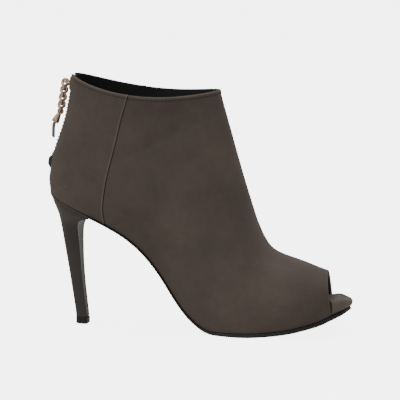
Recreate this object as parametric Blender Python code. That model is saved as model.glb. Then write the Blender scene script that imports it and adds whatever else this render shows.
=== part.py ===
"""Heeled ankle boot with an open toe, a zip up the back and a chain pull.

A right boot standing on its heel tip and the ball of its sole. Metres, +Z up, +X to the toe,
+Y to the inner side of the foot. The origin is the centre of the heel tip's bottom face.
"""

from collections import namedtuple

import bmesh
import bpy
import numpy as np

# Overall sizes
LENGTH = 0.2245
BACK_X = -0.024
HEEL_HEIGHT = 0.098
BOOT_HEIGHT = 0.1855
BALL_WIDTH = 0.079

# Walls and gaps
WALL = 0.002
GAP = 0.0003
MARGIN = 0.009
COLLAR_DIP = 0.0080
TOE_SWING = 0.14

# Sole parts
SOLE_FRONT = 0.003
SOLE_WAIST = 0.0016
SOLE_LEDGE = 0.0009
PLATFORM_TOP = 0.0118
PLATFORM_TOE = 0.0095
RIM_FRONT = 0.0068
RIM_BACK = 0.0123
RIM_LEAN = 0.24
SOLE_TIP_SHARE = 0.5
SOLE_TIP_INSET = 0.0006
INSOLE = 0.0022

# Zip: lengths up the boot's back, and drops below the collar
SLOT = 0.010
TAPE_WIDTH = 0.0145
TAPE = 0.0009
TAPE_BELOW_SLOT = 0.006
TAPE_DROP = 0.0012
GUARD_HEIGHT = 0.0094
GUARD_HALF = 0.0043
GUARD_PROUD = 0.0009
STOP_HEIGHT = 0.0025
STOP_HALF = 0.0030
STOP_PROUD = 0.0006
TOOTH_PITCH = 0.0026
TOOTH_WIDTH = 0.0056
TOOTH_ROOT = 0.0024
TEETH_DROP = 0.0035
SLIDER_DROP = 0.0075
SLIDER_HEIGHT = 0.0095
SLIDER_HALF = 0.0038
SLIDER_PROUD = 0.0013
BAIL_REACH = 0.0045
BAIL_HALF = 0.0024
BAIL_WIRE = 0.00075

# Pull: chain, cap and strip
LINKS = 4
LINK_LENGTH = 0.0058
LINK_HOLE = 0.00115
LINK_WIRE = 0.000875
CAP_LENGTH = 0.0089
CAP_RADIUS = 0.0030
EYE_WIRE = 0.0007
CHAIN_LEAN = np.radians(10)
CAP_LEAN = np.radians(28)
STRIP_LEAN = np.radians(6)
STRIP_WIDTH = 0.0030
STRIP_THICK = 0.0022
STRIP_DROP = 0.0115

# Rows of SECTIONS where something starts or ends
RIM_END_ROW = 2.88
RIM_SEAT_ROW = 2.97
TOE_ROW = 3
INSOLE_ROW = 3.125
BALL_ROW = 9
WAIST_ROW = 13
BREAST_ROW = 17
HEEL_BACK_ROW = 22
ZIP_FOOT_ROW = 24
SIDE_COLUMNS = 12
EDGE_CROWDING = 0.075
FINE = 121

# Sole point, sole edge, ridge point and widest place of each section, from the toe round the
# heel to the collar. X is a share of LENGTH from the back, ridge Z of BOOT_HEIGHT, widths of
# BALL_WIDTH, and belly of the way from the sole to the ridge. Sole Z is a share of HEEL_HEIGHT
# up to 1, and from there to 2 of the way on to BOOT_HEIGHT.
Section = namedtuple(
    "Section", "sole_x sole_z edge_out edge_in ridge_x ridge_z wide_out wide_in belly"
)
SECTIONS = (
    Section(0.9950, 0.1960, -0.013, 0.139, 0.9905, 0.1456, 0.006, 0.158, 0.45),
    Section(0.9826, 0.1867, 0.082, 0.222, 0.9755, 0.1833, 0.104, 0.243, 0.42),
    Section(0.9648, 0.1714, 0.168, 0.287, 0.9523, 0.2157, 0.196, 0.316, 0.40),
    Section(0.9372, 0.1480, 0.238, 0.342, 0.9229, 0.2399, 0.268, 0.370, 0.38),
    Section(0.9154, 0.1265, 0.308, 0.390, 0.8931, 0.2528, 0.344, 0.425, 0.34),
    Section(0.8775, 0.1010, 0.377, 0.430, 0.8530, 0.2717, 0.418, 0.468, 0.31),
    Section(0.8285, 0.0735, 0.428, 0.456, 0.8107, 0.2895, 0.470, 0.494, 0.29),
    Section(0.7751, 0.0531, 0.453, 0.459, 0.7706, 0.3062, 0.496, 0.500, 0.28),
    Section(0.7171, 0.0388, 0.462, 0.451, 0.7367, 0.3300, 0.505, 0.495, 0.28),
    Section(0.6592, 0.0316, 0.456, 0.423, 0.7136, 0.3666, 0.497, 0.480, 0.28),
    Section(0.6058, 0.0316, 0.438, 0.380, 0.6980, 0.4097, 0.478, 0.458, 0.29),
    Section(0.5635, 0.0367, 0.413, 0.339, 0.6851, 0.4528, 0.454, 0.437, 0.30),
    Section(0.5212, 0.0821, 0.382, 0.301, 0.6730, 0.5003, 0.429, 0.414, 0.32),
    Section(0.4633, 0.2091, 0.349, 0.268, 0.6581, 0.5595, 0.404, 0.392, 0.34),
    Section(0.4009, 0.4204, 0.327, 0.253, 0.6430, 0.6200, 0.386, 0.378, 0.36),
    Section(0.3296, 0.6132, 0.313, 0.257, 0.6290, 0.6792, 0.378, 0.372, 0.38),
    Section(0.2494, 0.7479, 0.310, 0.278, 0.6157, 0.7358, 0.377, 0.371, 0.40),
    Section(0.1604, 0.8500, 0.314, 0.304, 0.6043, 0.7871, 0.377, 0.372, 0.40),
    Section(0.1069, 0.9020, 0.306, 0.304, 0.5977, 0.8140, 0.377, 0.373, 0.40),
    Section(0.0624, 0.9459, 0.269, 0.269, 0.5925, 0.8366, 0.376, 0.373, 0.37),
    Section(0.0312, 0.9765, 0.205, 0.205, 0.5886, 0.8528, 0.375, 0.372, 0.35),
    Section(0.0143, 0.9929, 0.137, 0.137, 0.5864, 0.8625, 0.373, 0.372, 0.34),
    Section(0.0071, 1.0000, 0.063, 0.063, 0.5842, 0.8711, 0.372, 0.371, 0.34),
    Section(0.0000, 1.0857, 0.000, 0.000, 0.5817, 0.8825, 0.370, 0.368, 0.35),
    Section(0.0036, 1.1829, 0.000, 0.000, 0.5791, 0.8938, 0.366, 0.365, 0.38),
    Section(0.0125, 1.3085, 0.000, 0.000, 0.5764, 0.9057, 0.361, 0.359, 0.41),
    Section(0.0303, 1.4503, 0.000, 0.000, 0.5738, 0.9170, 0.359, 0.358, 0.44),
    Section(0.0494, 1.5942, 0.000, 0.000, 0.5717, 0.9267, 0.363, 0.362, 0.45),
    Section(0.0637, 1.7463, 0.000, 0.000, 0.5700, 0.9359, 0.371, 0.370, 0.46),
    Section(0.0722, 1.8823, 0.000, 0.000, 0.5691, 0.9423, 0.378, 0.377, 0.47),
    Section(0.0771, 2.0000, 0.000, 0.000, 0.5688, 0.9477, 0.384, 0.382, 0.47),
)

# Level cuts of the heel from its foot up. Back X is a share of BACK_X, front X of where the
# seat starts at the breast, Z of HEEL_HEIGHT and half width of BALL_WIDTH. The last column is
# how much of the seat's own outline a cut has.
HeelCut = namedtuple("HeelCut", "back_x back_z front_x front_z half_width seat_share")
HEEL_CUTS = (
    HeelCut(0.192, 0.054, 0.367, 0.054, 0.057, 0.00),
    HeelCut(0.225, 0.125, 0.302, 0.125, 0.058, 0.00),
    HeelCut(0.306, 0.255, 0.180, 0.255, 0.061, 0.00),
    HeelCut(0.392, 0.390, 0.073, 0.385, 0.068, 0.00),
    HeelCut(0.482, 0.520, 0.008, 0.505, 0.078, 0.00),
    HeelCut(0.568, 0.645, -0.033, 0.610, 0.096, 0.05),
    HeelCut(0.641, 0.755, -0.065, 0.720, 0.134, 0.25),
    HeelCut(0.706, 0.840, 0.033, 0.775, 0.192, 0.55),
    HeelCut(0.784, 0.900, 0.277, 0.808, 0.252, 0.80),
    HeelCut(0.862, 0.955, 0.620, 0.821, 0.293, 0.95),
    HeelCut(0.902, 0.982, 0.873, 0.829, 0.309, 1.00),
)
HEEL_ROUND = np.radians(112)
TIP_HEIGHT = 0.0050
TIP_HALF = 0.0047

# Edge of the platform from its foot up: the share of its height, and how far it is rounded in
RimTurn = namedtuple("RimTurn", "share inset")
RIM_TURNS = (
    RimTurn(0.00, 0.0014),
    RimTurn(0.15, 0.0003),
    RimTurn(0.42, 0.0),
    RimTurn(0.79, 0.0009),
    RimTurn(0.94, 0.0024),
    RimTurn(1.00, 0.0056),
)

# Slider's body from its foot up, in shares of its height, half width and how proud it stands
SliderCut = namedtuple("SliderCut", "up half_width proud")
SLIDER_CUTS = (
    SliderCut(0.00, 0.58, 0.85),
    SliderCut(0.21, 0.95, 1.00),
    SliderCut(0.79, 1.00, 1.00),
    SliderCut(1.00, 0.74, 0.85),
)

# Half of the bail on the slider, in shares of its half width and reach
BailBend = namedtuple("BailBend", "aside reach")
BAIL_BENDS = (
    BailBend(1.00, 0.18),
    BailBend(1.00, 0.75),
    BailBend(0.85, 0.93),
    BailBend(0.55, 1.00),
)

# Ribbed cap on the chain, from its eye down and up inside its mouth, in shares of its length
# and radius
CapRing = namedtuple("CapRing", "along radius")
CAP_RINGS = (
    CapRing(0.157, 0.43),
    CapRing(0.191, 0.53),
    CapRing(0.270, 0.60),
    CapRing(0.303, 0.50),
    CapRing(0.404, 0.70),
    CapRing(0.438, 0.60),
    CapRing(0.562, 0.80),
    CapRing(0.596, 0.70),
    CapRing(0.719, 0.90),
    CapRing(0.944, 1.00),
    CapRing(1.000, 0.97),
    CapRing(0.989, 0.77),
    CapRing(0.742, 0.73),
)


def spline(knots, at):
    """Smooth curve through evenly spaced knots with free ends, read at the given rows."""
    knots = np.asarray(knots, float)
    count = len(knots)
    bends = np.zeros_like(knots)
    inner = 4 * np.eye(count - 2) + np.eye(count - 2, k=1) + np.eye(count - 2, k=-1)
    bends[1:-1] = np.linalg.solve(inner, 6 * (knots[2:] - 2 * knots[1:-1] + knots[:-2]))
    low = np.clip(np.floor(at).astype(int), 0, count - 2)
    after = (at - low)[:, None]
    before = 1 - after
    bow = (before**3 - before) * bends[low] + (after**3 - after) * bends[low + 1]
    return before * knots[low] + after * knots[low + 1] + bow / 6


def metre_sections():
    """SECTIONS with its shares turned into metres."""
    share = Section(*np.array(SECTIONS, float).T)
    under_foot = np.minimum(share.sole_z, 1) * HEEL_HEIGHT
    up_the_back = np.maximum(share.sole_z - 1, 0) * (BOOT_HEIGHT - HEEL_HEIGHT)
    columns = Section(
        BACK_X + share.sole_x * LENGTH,
        under_foot + up_the_back,
        share.edge_out * BALL_WIDTH,
        share.edge_in * BALL_WIDTH,
        BACK_X + share.ridge_x * LENGTH,
        share.ridge_z * BOOT_HEIGHT,
        share.wide_out * BALL_WIDTH,
        share.wide_in * BALL_WIDTH,
        share.belly,
    )
    return np.stack(columns, axis=1)


METRE_SECTIONS = metre_sections()


def section_sizes(at):
    """Columns of SECTIONS in metres at the given rows."""
    return Section(*spline(METRE_SECTIONS, np.asarray(at, float)).T)


SEAT_STEP = 0.125


def seat_curve():
    """Side view of the line where the upper meets the sole, from heel to toe."""
    rows = np.arange(0, HEEL_BACK_ROW - 1 + SEAT_STEP / 2, SEAT_STEP)
    sizes = section_sizes(np.append(rows, HEEL_BACK_ROW))
    return sizes.sole_x[::-1], sizes.sole_z[::-1]


SEAT_X, SEAT_Z = seat_curve()
SEAT_SLOPE = np.gradient(SEAT_Z, SEAT_X)


def seat_point(x, y, lift):
    """Points over the seat line, lifted along its own upward normal."""
    slope = np.interp(x, SEAT_X, SEAT_SLOPE)
    size = np.hypot(slope, 1)
    z = np.interp(x, SEAT_X, SEAT_Z)
    return np.stack([x - lift * slope / size, y, z + lift / size], axis=-1)


def seat_up(x):
    """Upward unit normal of the seat at each x."""
    slope = np.interp(x, SEAT_X, SEAT_SLOPE)
    size = np.hypot(slope, 1)
    return np.stack([-slope / size, np.zeros_like(x), 1 / size], axis=-1)


def toe_swing(at):
    """How far each section is turned towards the inner side, as a slope in plan."""
    return TOE_SWING * np.clip((BALL_ROW - at) / (BALL_ROW - TOE_ROW), 0, 1)


def collar_dip(at):
    """Share of the collar's dip that each row takes."""
    last = len(SECTIONS) - 1
    return np.clip((at - last + 5) / 5, 0, 1) ** 2


def half_ring(row, side, count):
    """One side of a section, from its sole edge or zip edge to the ridge, evenly spaced."""
    size = section_sizes([row])
    sole_x, sole_z, edge_out, edge_in, ridge_x, ridge_z, wide_out, wide_in, belly = (
        column[0] for column in size
    )
    middle = (wide_in - wide_out) / 2
    wide = (wide_in + wide_out) / 2
    edge = max(edge_in - middle if side > 0 else edge_out + middle, 0)
    share = (1 - np.cos(np.linspace(0, np.pi, FINE))) / 2
    below = np.clip(1 - share / belly, 0, 1)
    above = np.clip((share - belly) / (1 - belly), 0, 1)
    start = (edge / wide) ** 2
    swell = np.where(share < belly, start + (1 - start) * (1 - below**2), 1 - above**2)
    half = wide * np.sqrt(np.clip(swell, 0, None))
    swing = toe_swing(row)
    x = sole_x + share * (ridge_x - sole_x) - side * swing * half
    z = sole_z + share * (ridge_z - sole_z)
    if row <= HEEL_BACK_ROW:
        z += (1 - share) * (np.interp(x[0], SEAT_X, SEAT_Z) - sole_z)
    z -= COLLAR_DIP * collar_dip(row) * 4 * share * (1 - share)
    points = np.stack([x, middle + side * half, z], axis=1)
    along = np.r_[0, np.cumsum(np.linalg.norm(np.diff(points, axis=0), axis=1))]
    first = 0.0
    if row > HEEL_BACK_ROW:
        first = np.interp(SLOT / 2, half[: FINE // 3], along[: FINE // 3])
    share = np.linspace(0, 1, count + 1)
    share -= EDGE_CROWDING * np.sin(2 * np.pi * share)
    places = first + share * (along[-1] - first)
    return np.stack([np.interp(places, along, axis) for axis in points.T], axis=1)


def skin(at, count):
    """Grid of the upper's outer surface and its outward normals, outer side to inner side."""
    rings = []
    for row in at:
        outer_side = half_ring(row, -1, count)
        inner_side = half_ring(row, 1, count)
        rings.append(np.concatenate([outer_side, inner_side[-2::-1]]))
    grid = np.array(rings)
    normals = np.cross(np.gradient(grid, axis=1), np.gradient(grid, axis=0))
    return grid, normals / np.linalg.norm(normals, axis=2, keepdims=True)


def back_point(row, y, out):
    """Point on the boot's back near its centre line, moved outwards by out."""

    def surface(at, across):
        size = section_sizes([at])
        wide = (size.wide_in[0] + size.wide_out[0]) / 2
        share = size.belly[0] * (1 - np.sqrt(1 - (across / wide) ** 2))
        return np.array(
            [
                size.sole_x[0] + share * (size.ridge_x[0] - size.sole_x[0]),
                across,
                size.sole_z[0] + share * (size.ridge_z[0] - size.sole_z[0]),
            ]
        )

    last = len(SECTIONS) - 1
    step = 0.02
    up = surface(min(row + step, last), y) - surface(row - step, y)
    across = surface(row, y + WALL / 4) - surface(row, y - WALL / 4)
    normal = np.cross(up, across)
    normal = normal / np.linalg.norm(normal)
    return surface(row, y) + out * normal


def back_row(z):
    """Row of SECTIONS whose back point is at height z."""
    rows = np.linspace(HEEL_BACK_ROW + 1, len(SECTIONS) - 1, 200)
    return float(np.interp(z, section_sizes(rows).sole_z, rows))


def look(name, colour, roughness, metallic=0.0):
    """Material with one colour, roughness and metallic value."""
    made = bpy.data.materials.new(name)
    made.use_nodes = True
    shader = made.node_tree.nodes["Principled BSDF"]
    shader.inputs["Base Color"].default_value = (*colour, 1.0)
    shader.inputs["Roughness"].default_value = roughness
    shader.inputs["Metallic"].default_value = metallic
    made.diffuse_color = (*colour, 1.0)
    return made


def add_solid(name, points, faces, material, smooth=True):
    """One named closed mesh whose faces all point outwards."""
    mesh = bpy.data.meshes.new(name)
    mesh.from_pydata([tuple(point) for point in points], [], faces)
    shape = bmesh.new()
    shape.from_mesh(mesh)
    bmesh.ops.recalc_face_normals(shape, faces=shape.faces)
    shape.to_mesh(mesh)
    shape.free()
    made = bpy.data.objects.new(name, mesh)
    bpy.context.scene.collection.objects.link(made)
    mesh.materials.append(material)
    if smooth:
        mesh.polygons.foreach_set("use_smooth", [True] * len(mesh.polygons))
        mesh.set_sharp_from_angle(angle=np.radians(50))
    return made


def thick_sheet(name, outer, inner, faces, material):
    """Closed solid between two skins that share their faces, walled along each open edge."""
    count = len(outer)
    used = {}
    for face in faces:
        for start, end in zip(face, face[1:] + face[:1]):
            used.setdefault(frozenset((start, end)), []).append((start, end))
    rims = [edges[0] for edges in used.values() if len(edges) == 1]
    solid = list(faces)
    solid += [[corner + count for corner in reversed(face)] for face in faces]
    solid += [[end, start, start + count, end + count] for start, end in rims]
    return add_solid(name, np.concatenate([outer, inner]), solid, material)


def ring_solid(name, rings, material, smooth=True):
    """Closed loft through rings of equal length, with flat ends."""
    size = len(rings[0])
    faces = [list(range(size)), [size * (len(rings) - 1) + k for k in range(size)]]
    for level in range(len(rings) - 1):
        for k in range(size):
            after = (k + 1) % size
            low, high = size * level, size * (level + 1)
            faces.append([low + k, low + after, high + after, high + k])
    return add_solid(name, np.concatenate(rings), faces, material, smooth)


def plan_outline(at):
    """Sole edge in plan as one loop: outer side to the heel, its back, inner side to the toe."""
    size = section_sizes(at)
    swing = toe_swing(at)
    middle = (size.wide_in - size.wide_out) / 2
    outer = np.stack([size.sole_x + swing * (size.edge_out + middle), -size.edge_out], axis=1)
    inner = np.stack([size.sole_x - swing * (size.edge_in - middle), size.edge_in], axis=1)
    back = np.array([[size.sole_x[-1] - GAP, 0.0]])
    return np.concatenate([outer, back, inner[::-1]])


def inward(outline):
    """Unit normals of the plan outline, pointing into the sole."""
    tangent = np.roll(outline, -1, axis=0) - np.roll(outline, 1, axis=0)
    normal = np.stack([-tangent[:, 1], tangent[:, 0]], axis=1)
    normal /= np.linalg.norm(normal, axis=1, keepdims=True)
    centre = outline.mean(axis=0)
    turned = np.sum(normal * (centre - outline)) < 0
    return -normal if turned else normal


def bottom_piece(name, at, rows, levels, material):
    """Solid under or in the upper: each level gives the loop's inset, lift and forward lean."""
    outline = plan_outline(at)
    facing = inward(outline)
    count = len(at)
    picked = [k for k in range(count) if rows[0] <= at[k] <= rows[1]]
    loop = picked + [count] * (rows[1] >= HEEL_BACK_ROW)
    loop += [2 * count - k for k in reversed(picked)]
    loop_rows = np.array([at[k] if k < count else at[min(2 * count - k, count - 1)] for k in loop])
    sides = np.array([-1 if k <= count else 1 for k in loop])
    size = len(loop)
    points = []
    for level in levels:
        inset, lift, forward = level(loop_rows, sides)
        flat = outline[loop] + facing[loop] * np.broadcast_to(inset, size)[:, None]
        ring = seat_point(flat[:, 0], flat[:, 1], np.broadcast_to(lift, size))
        ring[:, 0] += forward
        points.append(ring)
    faces = []
    for low in range(len(levels) - 1):
        for k in range(size):
            after = (k + 1) % size
            base, top = size * low, size * (low + 1)
            faces.append([base + k, base + after, top + after, top + k])
    pairs = len(picked)
    for base in (0, size * (len(levels) - 1)):
        for k in range(pairs - 1):
            far = size - 1 - k
            faces.append([base + k, base + k + 1, base + far - 1, base + far])
        if size > 2 * pairs:
            faces.append([base + pairs - 1, base + pairs, base + pairs + 1])
    return points, faces, name, material


def build_bottom(piece):
    """Adds the solid whose points and faces bottom_piece worked out."""
    points, faces, name, material = piece
    return add_solid(name, np.concatenate(points), faces, material)


def bulge(rows, sides, lift):
    """How far the upper's side stands outside its sole edge at a height over the seat."""
    size = section_sizes(rows)
    middle = (size.wide_in - size.wide_out) / 2
    wide = (size.wide_in + size.wide_out) / 2
    edge = np.where(sides > 0, size.edge_in - middle, size.edge_out + middle)
    height = np.hypot(size.ridge_x - size.sole_x, size.ridge_z - size.sole_z)
    below = np.clip(1 - lift / height / size.belly, 0, 1)
    start = (edge / wide) ** 2
    fading = np.interp(rows, [WAIST_ROW, BREAST_ROW + 1], [1, 0])
    return fading * (wide * np.sqrt(start + (1 - start) * (1 - below**2)) - edge)


def build_upper(leather):
    """Hollow upper, open at the collar, toe, zip and underneath, with its margin turned in."""
    last = len(SECTIONS) - 1
    at = np.r_[np.arange(TOE_ROW, BREAST_ROW, 0.5), np.arange(BREAST_ROW, last + 1)]
    grid, normals = skin(at, SIDE_COLUMNS)
    inner = grid - WALL * normals
    across = 2 * SIDE_COLUMNS + 1
    seat_rows = [k for k, row in enumerate(at) if row <= HEEL_BACK_ROW]
    heel_back = seat_rows[-1]
    seat_at = at[seat_rows]
    outline = plan_outline(seat_at)
    facing = inward(outline)
    for k in seat_rows:
        for column, edge in ((0, k), (across - 1, 2 * len(seat_rows) - k)):
            up = seat_up(grid[k, column, :1])[0]
            side = np.array([*facing[edge], 0.0])
            inner[k, column] = grid[k, column] + WALL * (side + up) / (1 + side @ up)
    outer_points = list(grid.reshape(-1, 3))
    inner_points = list(inner.reshape(-1, 3))
    faces = []
    for k in range(len(at) - 1):
        for column in range(across - 1):
            corner = k * across + column
            faces.append([corner, corner + 1, corner + across + 1, corner + across])

    def add(outside, inside):
        outer_points.append(outside)
        inner_points.append(inside)
        return len(outer_points) - 1

    # Back centre line between the heel seat and the foot of the zip
    centre = {}
    for k in range(heel_back, len(at)):
        if at[k] <= ZIP_FOOT_ROW:
            row = max(at[k], HEEL_BACK_ROW + 0.03)
            here = back_point(row, 0.0, 0.0)
            inside = back_point(row, 0.0, -WALL)
            if k == heel_back:
                inside = here + np.array([WALL, 0, WALL])
            centre[k] = add(here, inside)
    for k in list(centre)[:-1]:
        left, right = k * across, k * across + across - 1
        faces.append([centre[k], left, left + across, centre[k + 1]])
        faces.append([right, centre[k], centre[k + 1], right + across])

    # Lasting margin turned in under the foot
    folded = outline + MARGIN * facing
    folded_points = seat_point(folded[:, 0], folded[:, 1], 0.0)
    lifted_points = seat_point(folded[:, 0], folded[:, 1], WALL)
    turned = [add(*pair) for pair in zip(folded_points, lifted_points)]
    edge = [k * across for k in seat_rows] + [centre[heel_back]]
    edge += [k * across + across - 1 for k in reversed(seat_rows)]
    for k in range(len(edge) - 1):
        faces.append([edge[k], edge[k + 1], turned[k + 1], turned[k]])
    return thick_sheet("upper", np.array(outer_points), np.array(inner_points), faces, leather)


def build_sole_parts(rubber, leather, lining):
    """Outsole under the upper, platform and insole inside it."""
    at = np.r_[np.arange(0, BREAST_ROW, 0.5), np.arange(BREAST_ROW, HEEL_BACK_ROW + 1)]

    def sole_level(share, ledge_share):
        def level(rows, sides):
            thick = np.interp(rows, [BALL_ROW, WAIST_ROW], [SOLE_FRONT, SOLE_WAIST])
            thick = thick * np.interp(rows, [0, TOE_ROW], [SOLE_TIP_SHARE, 1])
            out = np.interp(rows, [0, TOE_ROW], [-SOLE_TIP_INSET, SOLE_LEDGE])
            return -ledge_share * out, -GAP - share * thick, 0.0

        return level

    ledges = ((0.0, 1.0), (0.75, 1.0), (1.0, 0.0))
    piece = bottom_piece(
        "outsole", at, (0, BREAST_ROW), [sole_level(*ledge) for ledge in ledges], rubber
    )
    for level in piece[0]:
        level[:, 2] = np.maximum(level[:, 2], 0.0)
    build_bottom(piece)

    def nose(rows):
        """One on the rim, in front of the upper, and zero inside the upper."""
        return np.clip((RIM_SEAT_ROW - rows) / (RIM_SEAT_ROW - RIM_END_ROW), 0, 1)

    def toe_lean(rows, lift):
        """How far forward a height over the seat stands at the toe, where the last leans less."""
        return RIM_LEAN * lift * np.clip(TOE_ROW + 1 - rows, 0, 1)

    def platform_top(rows):
        places = [0, RIM_END_ROW, RIM_SEAT_ROW, TOE_ROW + 3, BALL_ROW, WAIST_ROW]
        bed = [PLATFORM_TOE, 0.9 * PLATFORM_TOP, PLATFORM_TOP, WALL + 4 * GAP]
        return np.interp(rows, places, [RIM_FRONT, RIM_BACK, *bed])

    def platform_level(share, round_in):
        def level(rows, sides):
            rim = nose(rows)
            bottom = (WALL + GAP) * (1 - rim)
            lift = bottom + share * (platform_top(rows) - bottom)
            inset = (1.5 * WALL + GAP) * (1 - rim) + round_in * rim - bulge(rows, sides, lift)
            return inset, lift, toe_lean(rows, lift)

        return level

    turns = [platform_level(*turn) for turn in RIM_TURNS]
    rim_rows = np.append(at[at != TOE_ROW], [RIM_END_ROW, RIM_SEAT_ROW])
    platform_at = np.sort(rim_rows)
    build_bottom(bottom_piece("platform", platform_at, (0, WAIST_ROW), turns, leather))

    def insole_level(thick):
        def level(rows, sides):
            base = np.where(rows <= WAIST_ROW, platform_top(rows) + GAP, WALL + GAP)
            lift = base + thick
            heel_room = WALL * np.clip(rows - BREAST_ROW - 1, 0, 1)
            inset = 1.5 * WALL + GAP - bulge(rows, sides, lift) + heel_room
            return inset, lift, toe_lean(rows, lift)

        return level

    build_bottom(
        bottom_piece(
            "insole",
            np.sort(np.append(at, INSOLE_ROW)),
            (INSOLE_ROW, HEEL_BACK_ROW),
            [insole_level(thick) for thick in (0.0, 0.6 * INSOLE, INSOLE)],
            lining,
        )
    )


def build_heel(leather, rubber):
    """Heel lofted from its foot up to the seat's outline, and the tip under it."""
    at = np.arange(BREAST_ROW, HEEL_BACK_ROW + 0.1, 0.5)
    outline = plan_outline(at)
    outline[[0, -1], 0] -= GAP
    seat = seat_point(outline[:, 0], outline[:, 1], -GAP)
    seat[:, 0] = outline[:, 0]
    back_x, front_x = outline[:, 0].min(), outline[:, 0].max()
    half = np.abs(outline[:, 1]).max()
    shape_x = (outline[:, 0] - back_x) / (front_x - back_x)
    shape_y = outline[:, 1] / half
    middle = len(at)
    steps = np.r_[0, np.cumsum(np.linalg.norm(np.diff(outline, axis=0), axis=1))]
    turn = np.abs(steps - steps[middle]) / np.where(
        steps < steps[middle], steps[middle], steps[-1] - steps[middle]
    )
    side = np.sign(outline[:, 1])
    round_x = (1 - np.cos(turn * HEEL_ROUND)) / (1 - np.cos(HEEL_ROUND))
    round_y = side * np.sin(turn * HEEL_ROUND)

    def cut(back, front, half_width, share):
        across = share * shape_x + (1 - share) * round_x
        y = (share * shape_y + (1 - share) * round_y) * half_width
        x = back[0] + across * (front[0] - back[0])
        z = back[1] + across * (front[1] - back[1])
        return np.stack([x, y, z], axis=1)

    foot = TIP_HEIGHT + GAP
    first = HEEL_CUTS[0].back_z

    def cut_height(share):
        """Height of a share of HEEL_HEIGHT, with the lowest cut just over the tip."""
        return foot + (share - first) / (1 - first) * (HEEL_HEIGHT - foot)

    breast_x = section_sizes([BREAST_ROW]).sole_x[0]
    rings = []
    for row in HEEL_CUTS:
        back = (row.back_x * BACK_X, cut_height(row.back_z))
        front = (row.front_x * breast_x, cut_height(row.front_z))
        rings.append(cut(back, front, row.half_width * BALL_WIDTH, row.seat_share))
    rings.append(seat)
    ring_solid("heel", rings, leather)
    tip = [
        cut((-TIP_HALF + cutback, z), (TIP_HALF - cutback, z), TIP_HALF - cutback, 0.0)
        for z, cutback in ((0.0, GAP), (2 * GAP, 0.0), (TIP_HEIGHT, 0.0))
    ]
    ring_solid("heel_tip", tip, rubber)


def back_band(name, stations, material, half_columns=1):
    """Solid on the boot's back: each station gives a height, half width and two offsets."""
    rings = []
    places = np.linspace(-1, 1, 2 * half_columns + 1)
    for z, half_width, inside, outside in stations:
        row = back_row(z)
        near = [back_point(row, share * half_width, inside) for share in places]
        far = [back_point(row, share * half_width, outside) for share in places[::-1]]
        rings.append(np.array(near + far))
    return ring_solid(name, rings, material, smooth=False)


def tube(path, outward, radius, sides, closed):
    """Rings of a round bar along a path, turned to keep one side facing outward."""
    path = np.asarray(path, float)
    if closed:
        tangent = np.roll(path, -1, axis=0) - np.roll(path, 1, axis=0)
    else:
        tangent = np.gradient(path, axis=0)
    tangent /= np.linalg.norm(tangent, axis=1, keepdims=True)
    side = outward - np.sum(outward * tangent, axis=1, keepdims=True) * tangent
    side /= np.linalg.norm(side, axis=1, keepdims=True)
    other = np.cross(tangent, side)
    angles = np.arange(sides)[None, :, None] * 2 * np.pi / sides
    turned = np.cos(angles) * side[:, None] + np.sin(angles) * other[:, None]
    return path[:, None] + radius * turned


def closed_tube(name, rings, material):
    """Closed loop of a bar, from the rings round its path."""
    count, sides = rings.shape[:2]
    faces = []
    for k in range(count):
        for j in range(sides):
            a, b = k * sides, (k + 1) % count * sides
            faces.append([a + j, a + (j + 1) % sides, b + (j + 1) % sides, b + j])
    return add_solid(name, rings.reshape(-1, 3), faces, material)


def union(target, other):
    """Fuses a helper into a piece and keeps the helper out of the part."""
    join = target.modifiers.new("join", "BOOLEAN")
    join.operation = "UNION"
    join.solver = "EXACT"
    join.object = other
    other.hide_render = True
    other.display_type = "WIRE"


def link_path(start, down, twist):
    """Centre line of one chain link hanging from start, and its outward directions."""
    straight = LINK_LENGTH / 2 - LINK_HOLE
    radius = LINK_HOLE + LINK_WIRE
    arc = np.linspace(-np.pi / 2, np.pi / 2, 7)
    run = np.array([-1, 1]) * straight / 3
    along = np.r_[-straight - radius * np.cos(arc), run, straight + radius * np.cos(arc), run[::-1]]
    aside = np.r_[radius * np.sin(arc), [radius] * 2, radius * np.sin(arc[::-1]), [-radius] * 2]
    share = np.clip((along + straight) / (2 * straight), 0, 1)
    angle = twist * share**2 * (3 - 2 * share)
    across = np.array([-down[2], 0.0, down[0]])
    flat = np.array([0.0, 1.0, 0.0])
    direction = np.cos(angle)[:, None] * across + np.sin(angle)[:, None] * flat
    middle = start + down * straight
    axis = middle + np.clip(along, -straight, straight)[:, None] * down
    path = middle + along[:, None] * down + aside[:, None] * direction
    return path, path - axis


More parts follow.
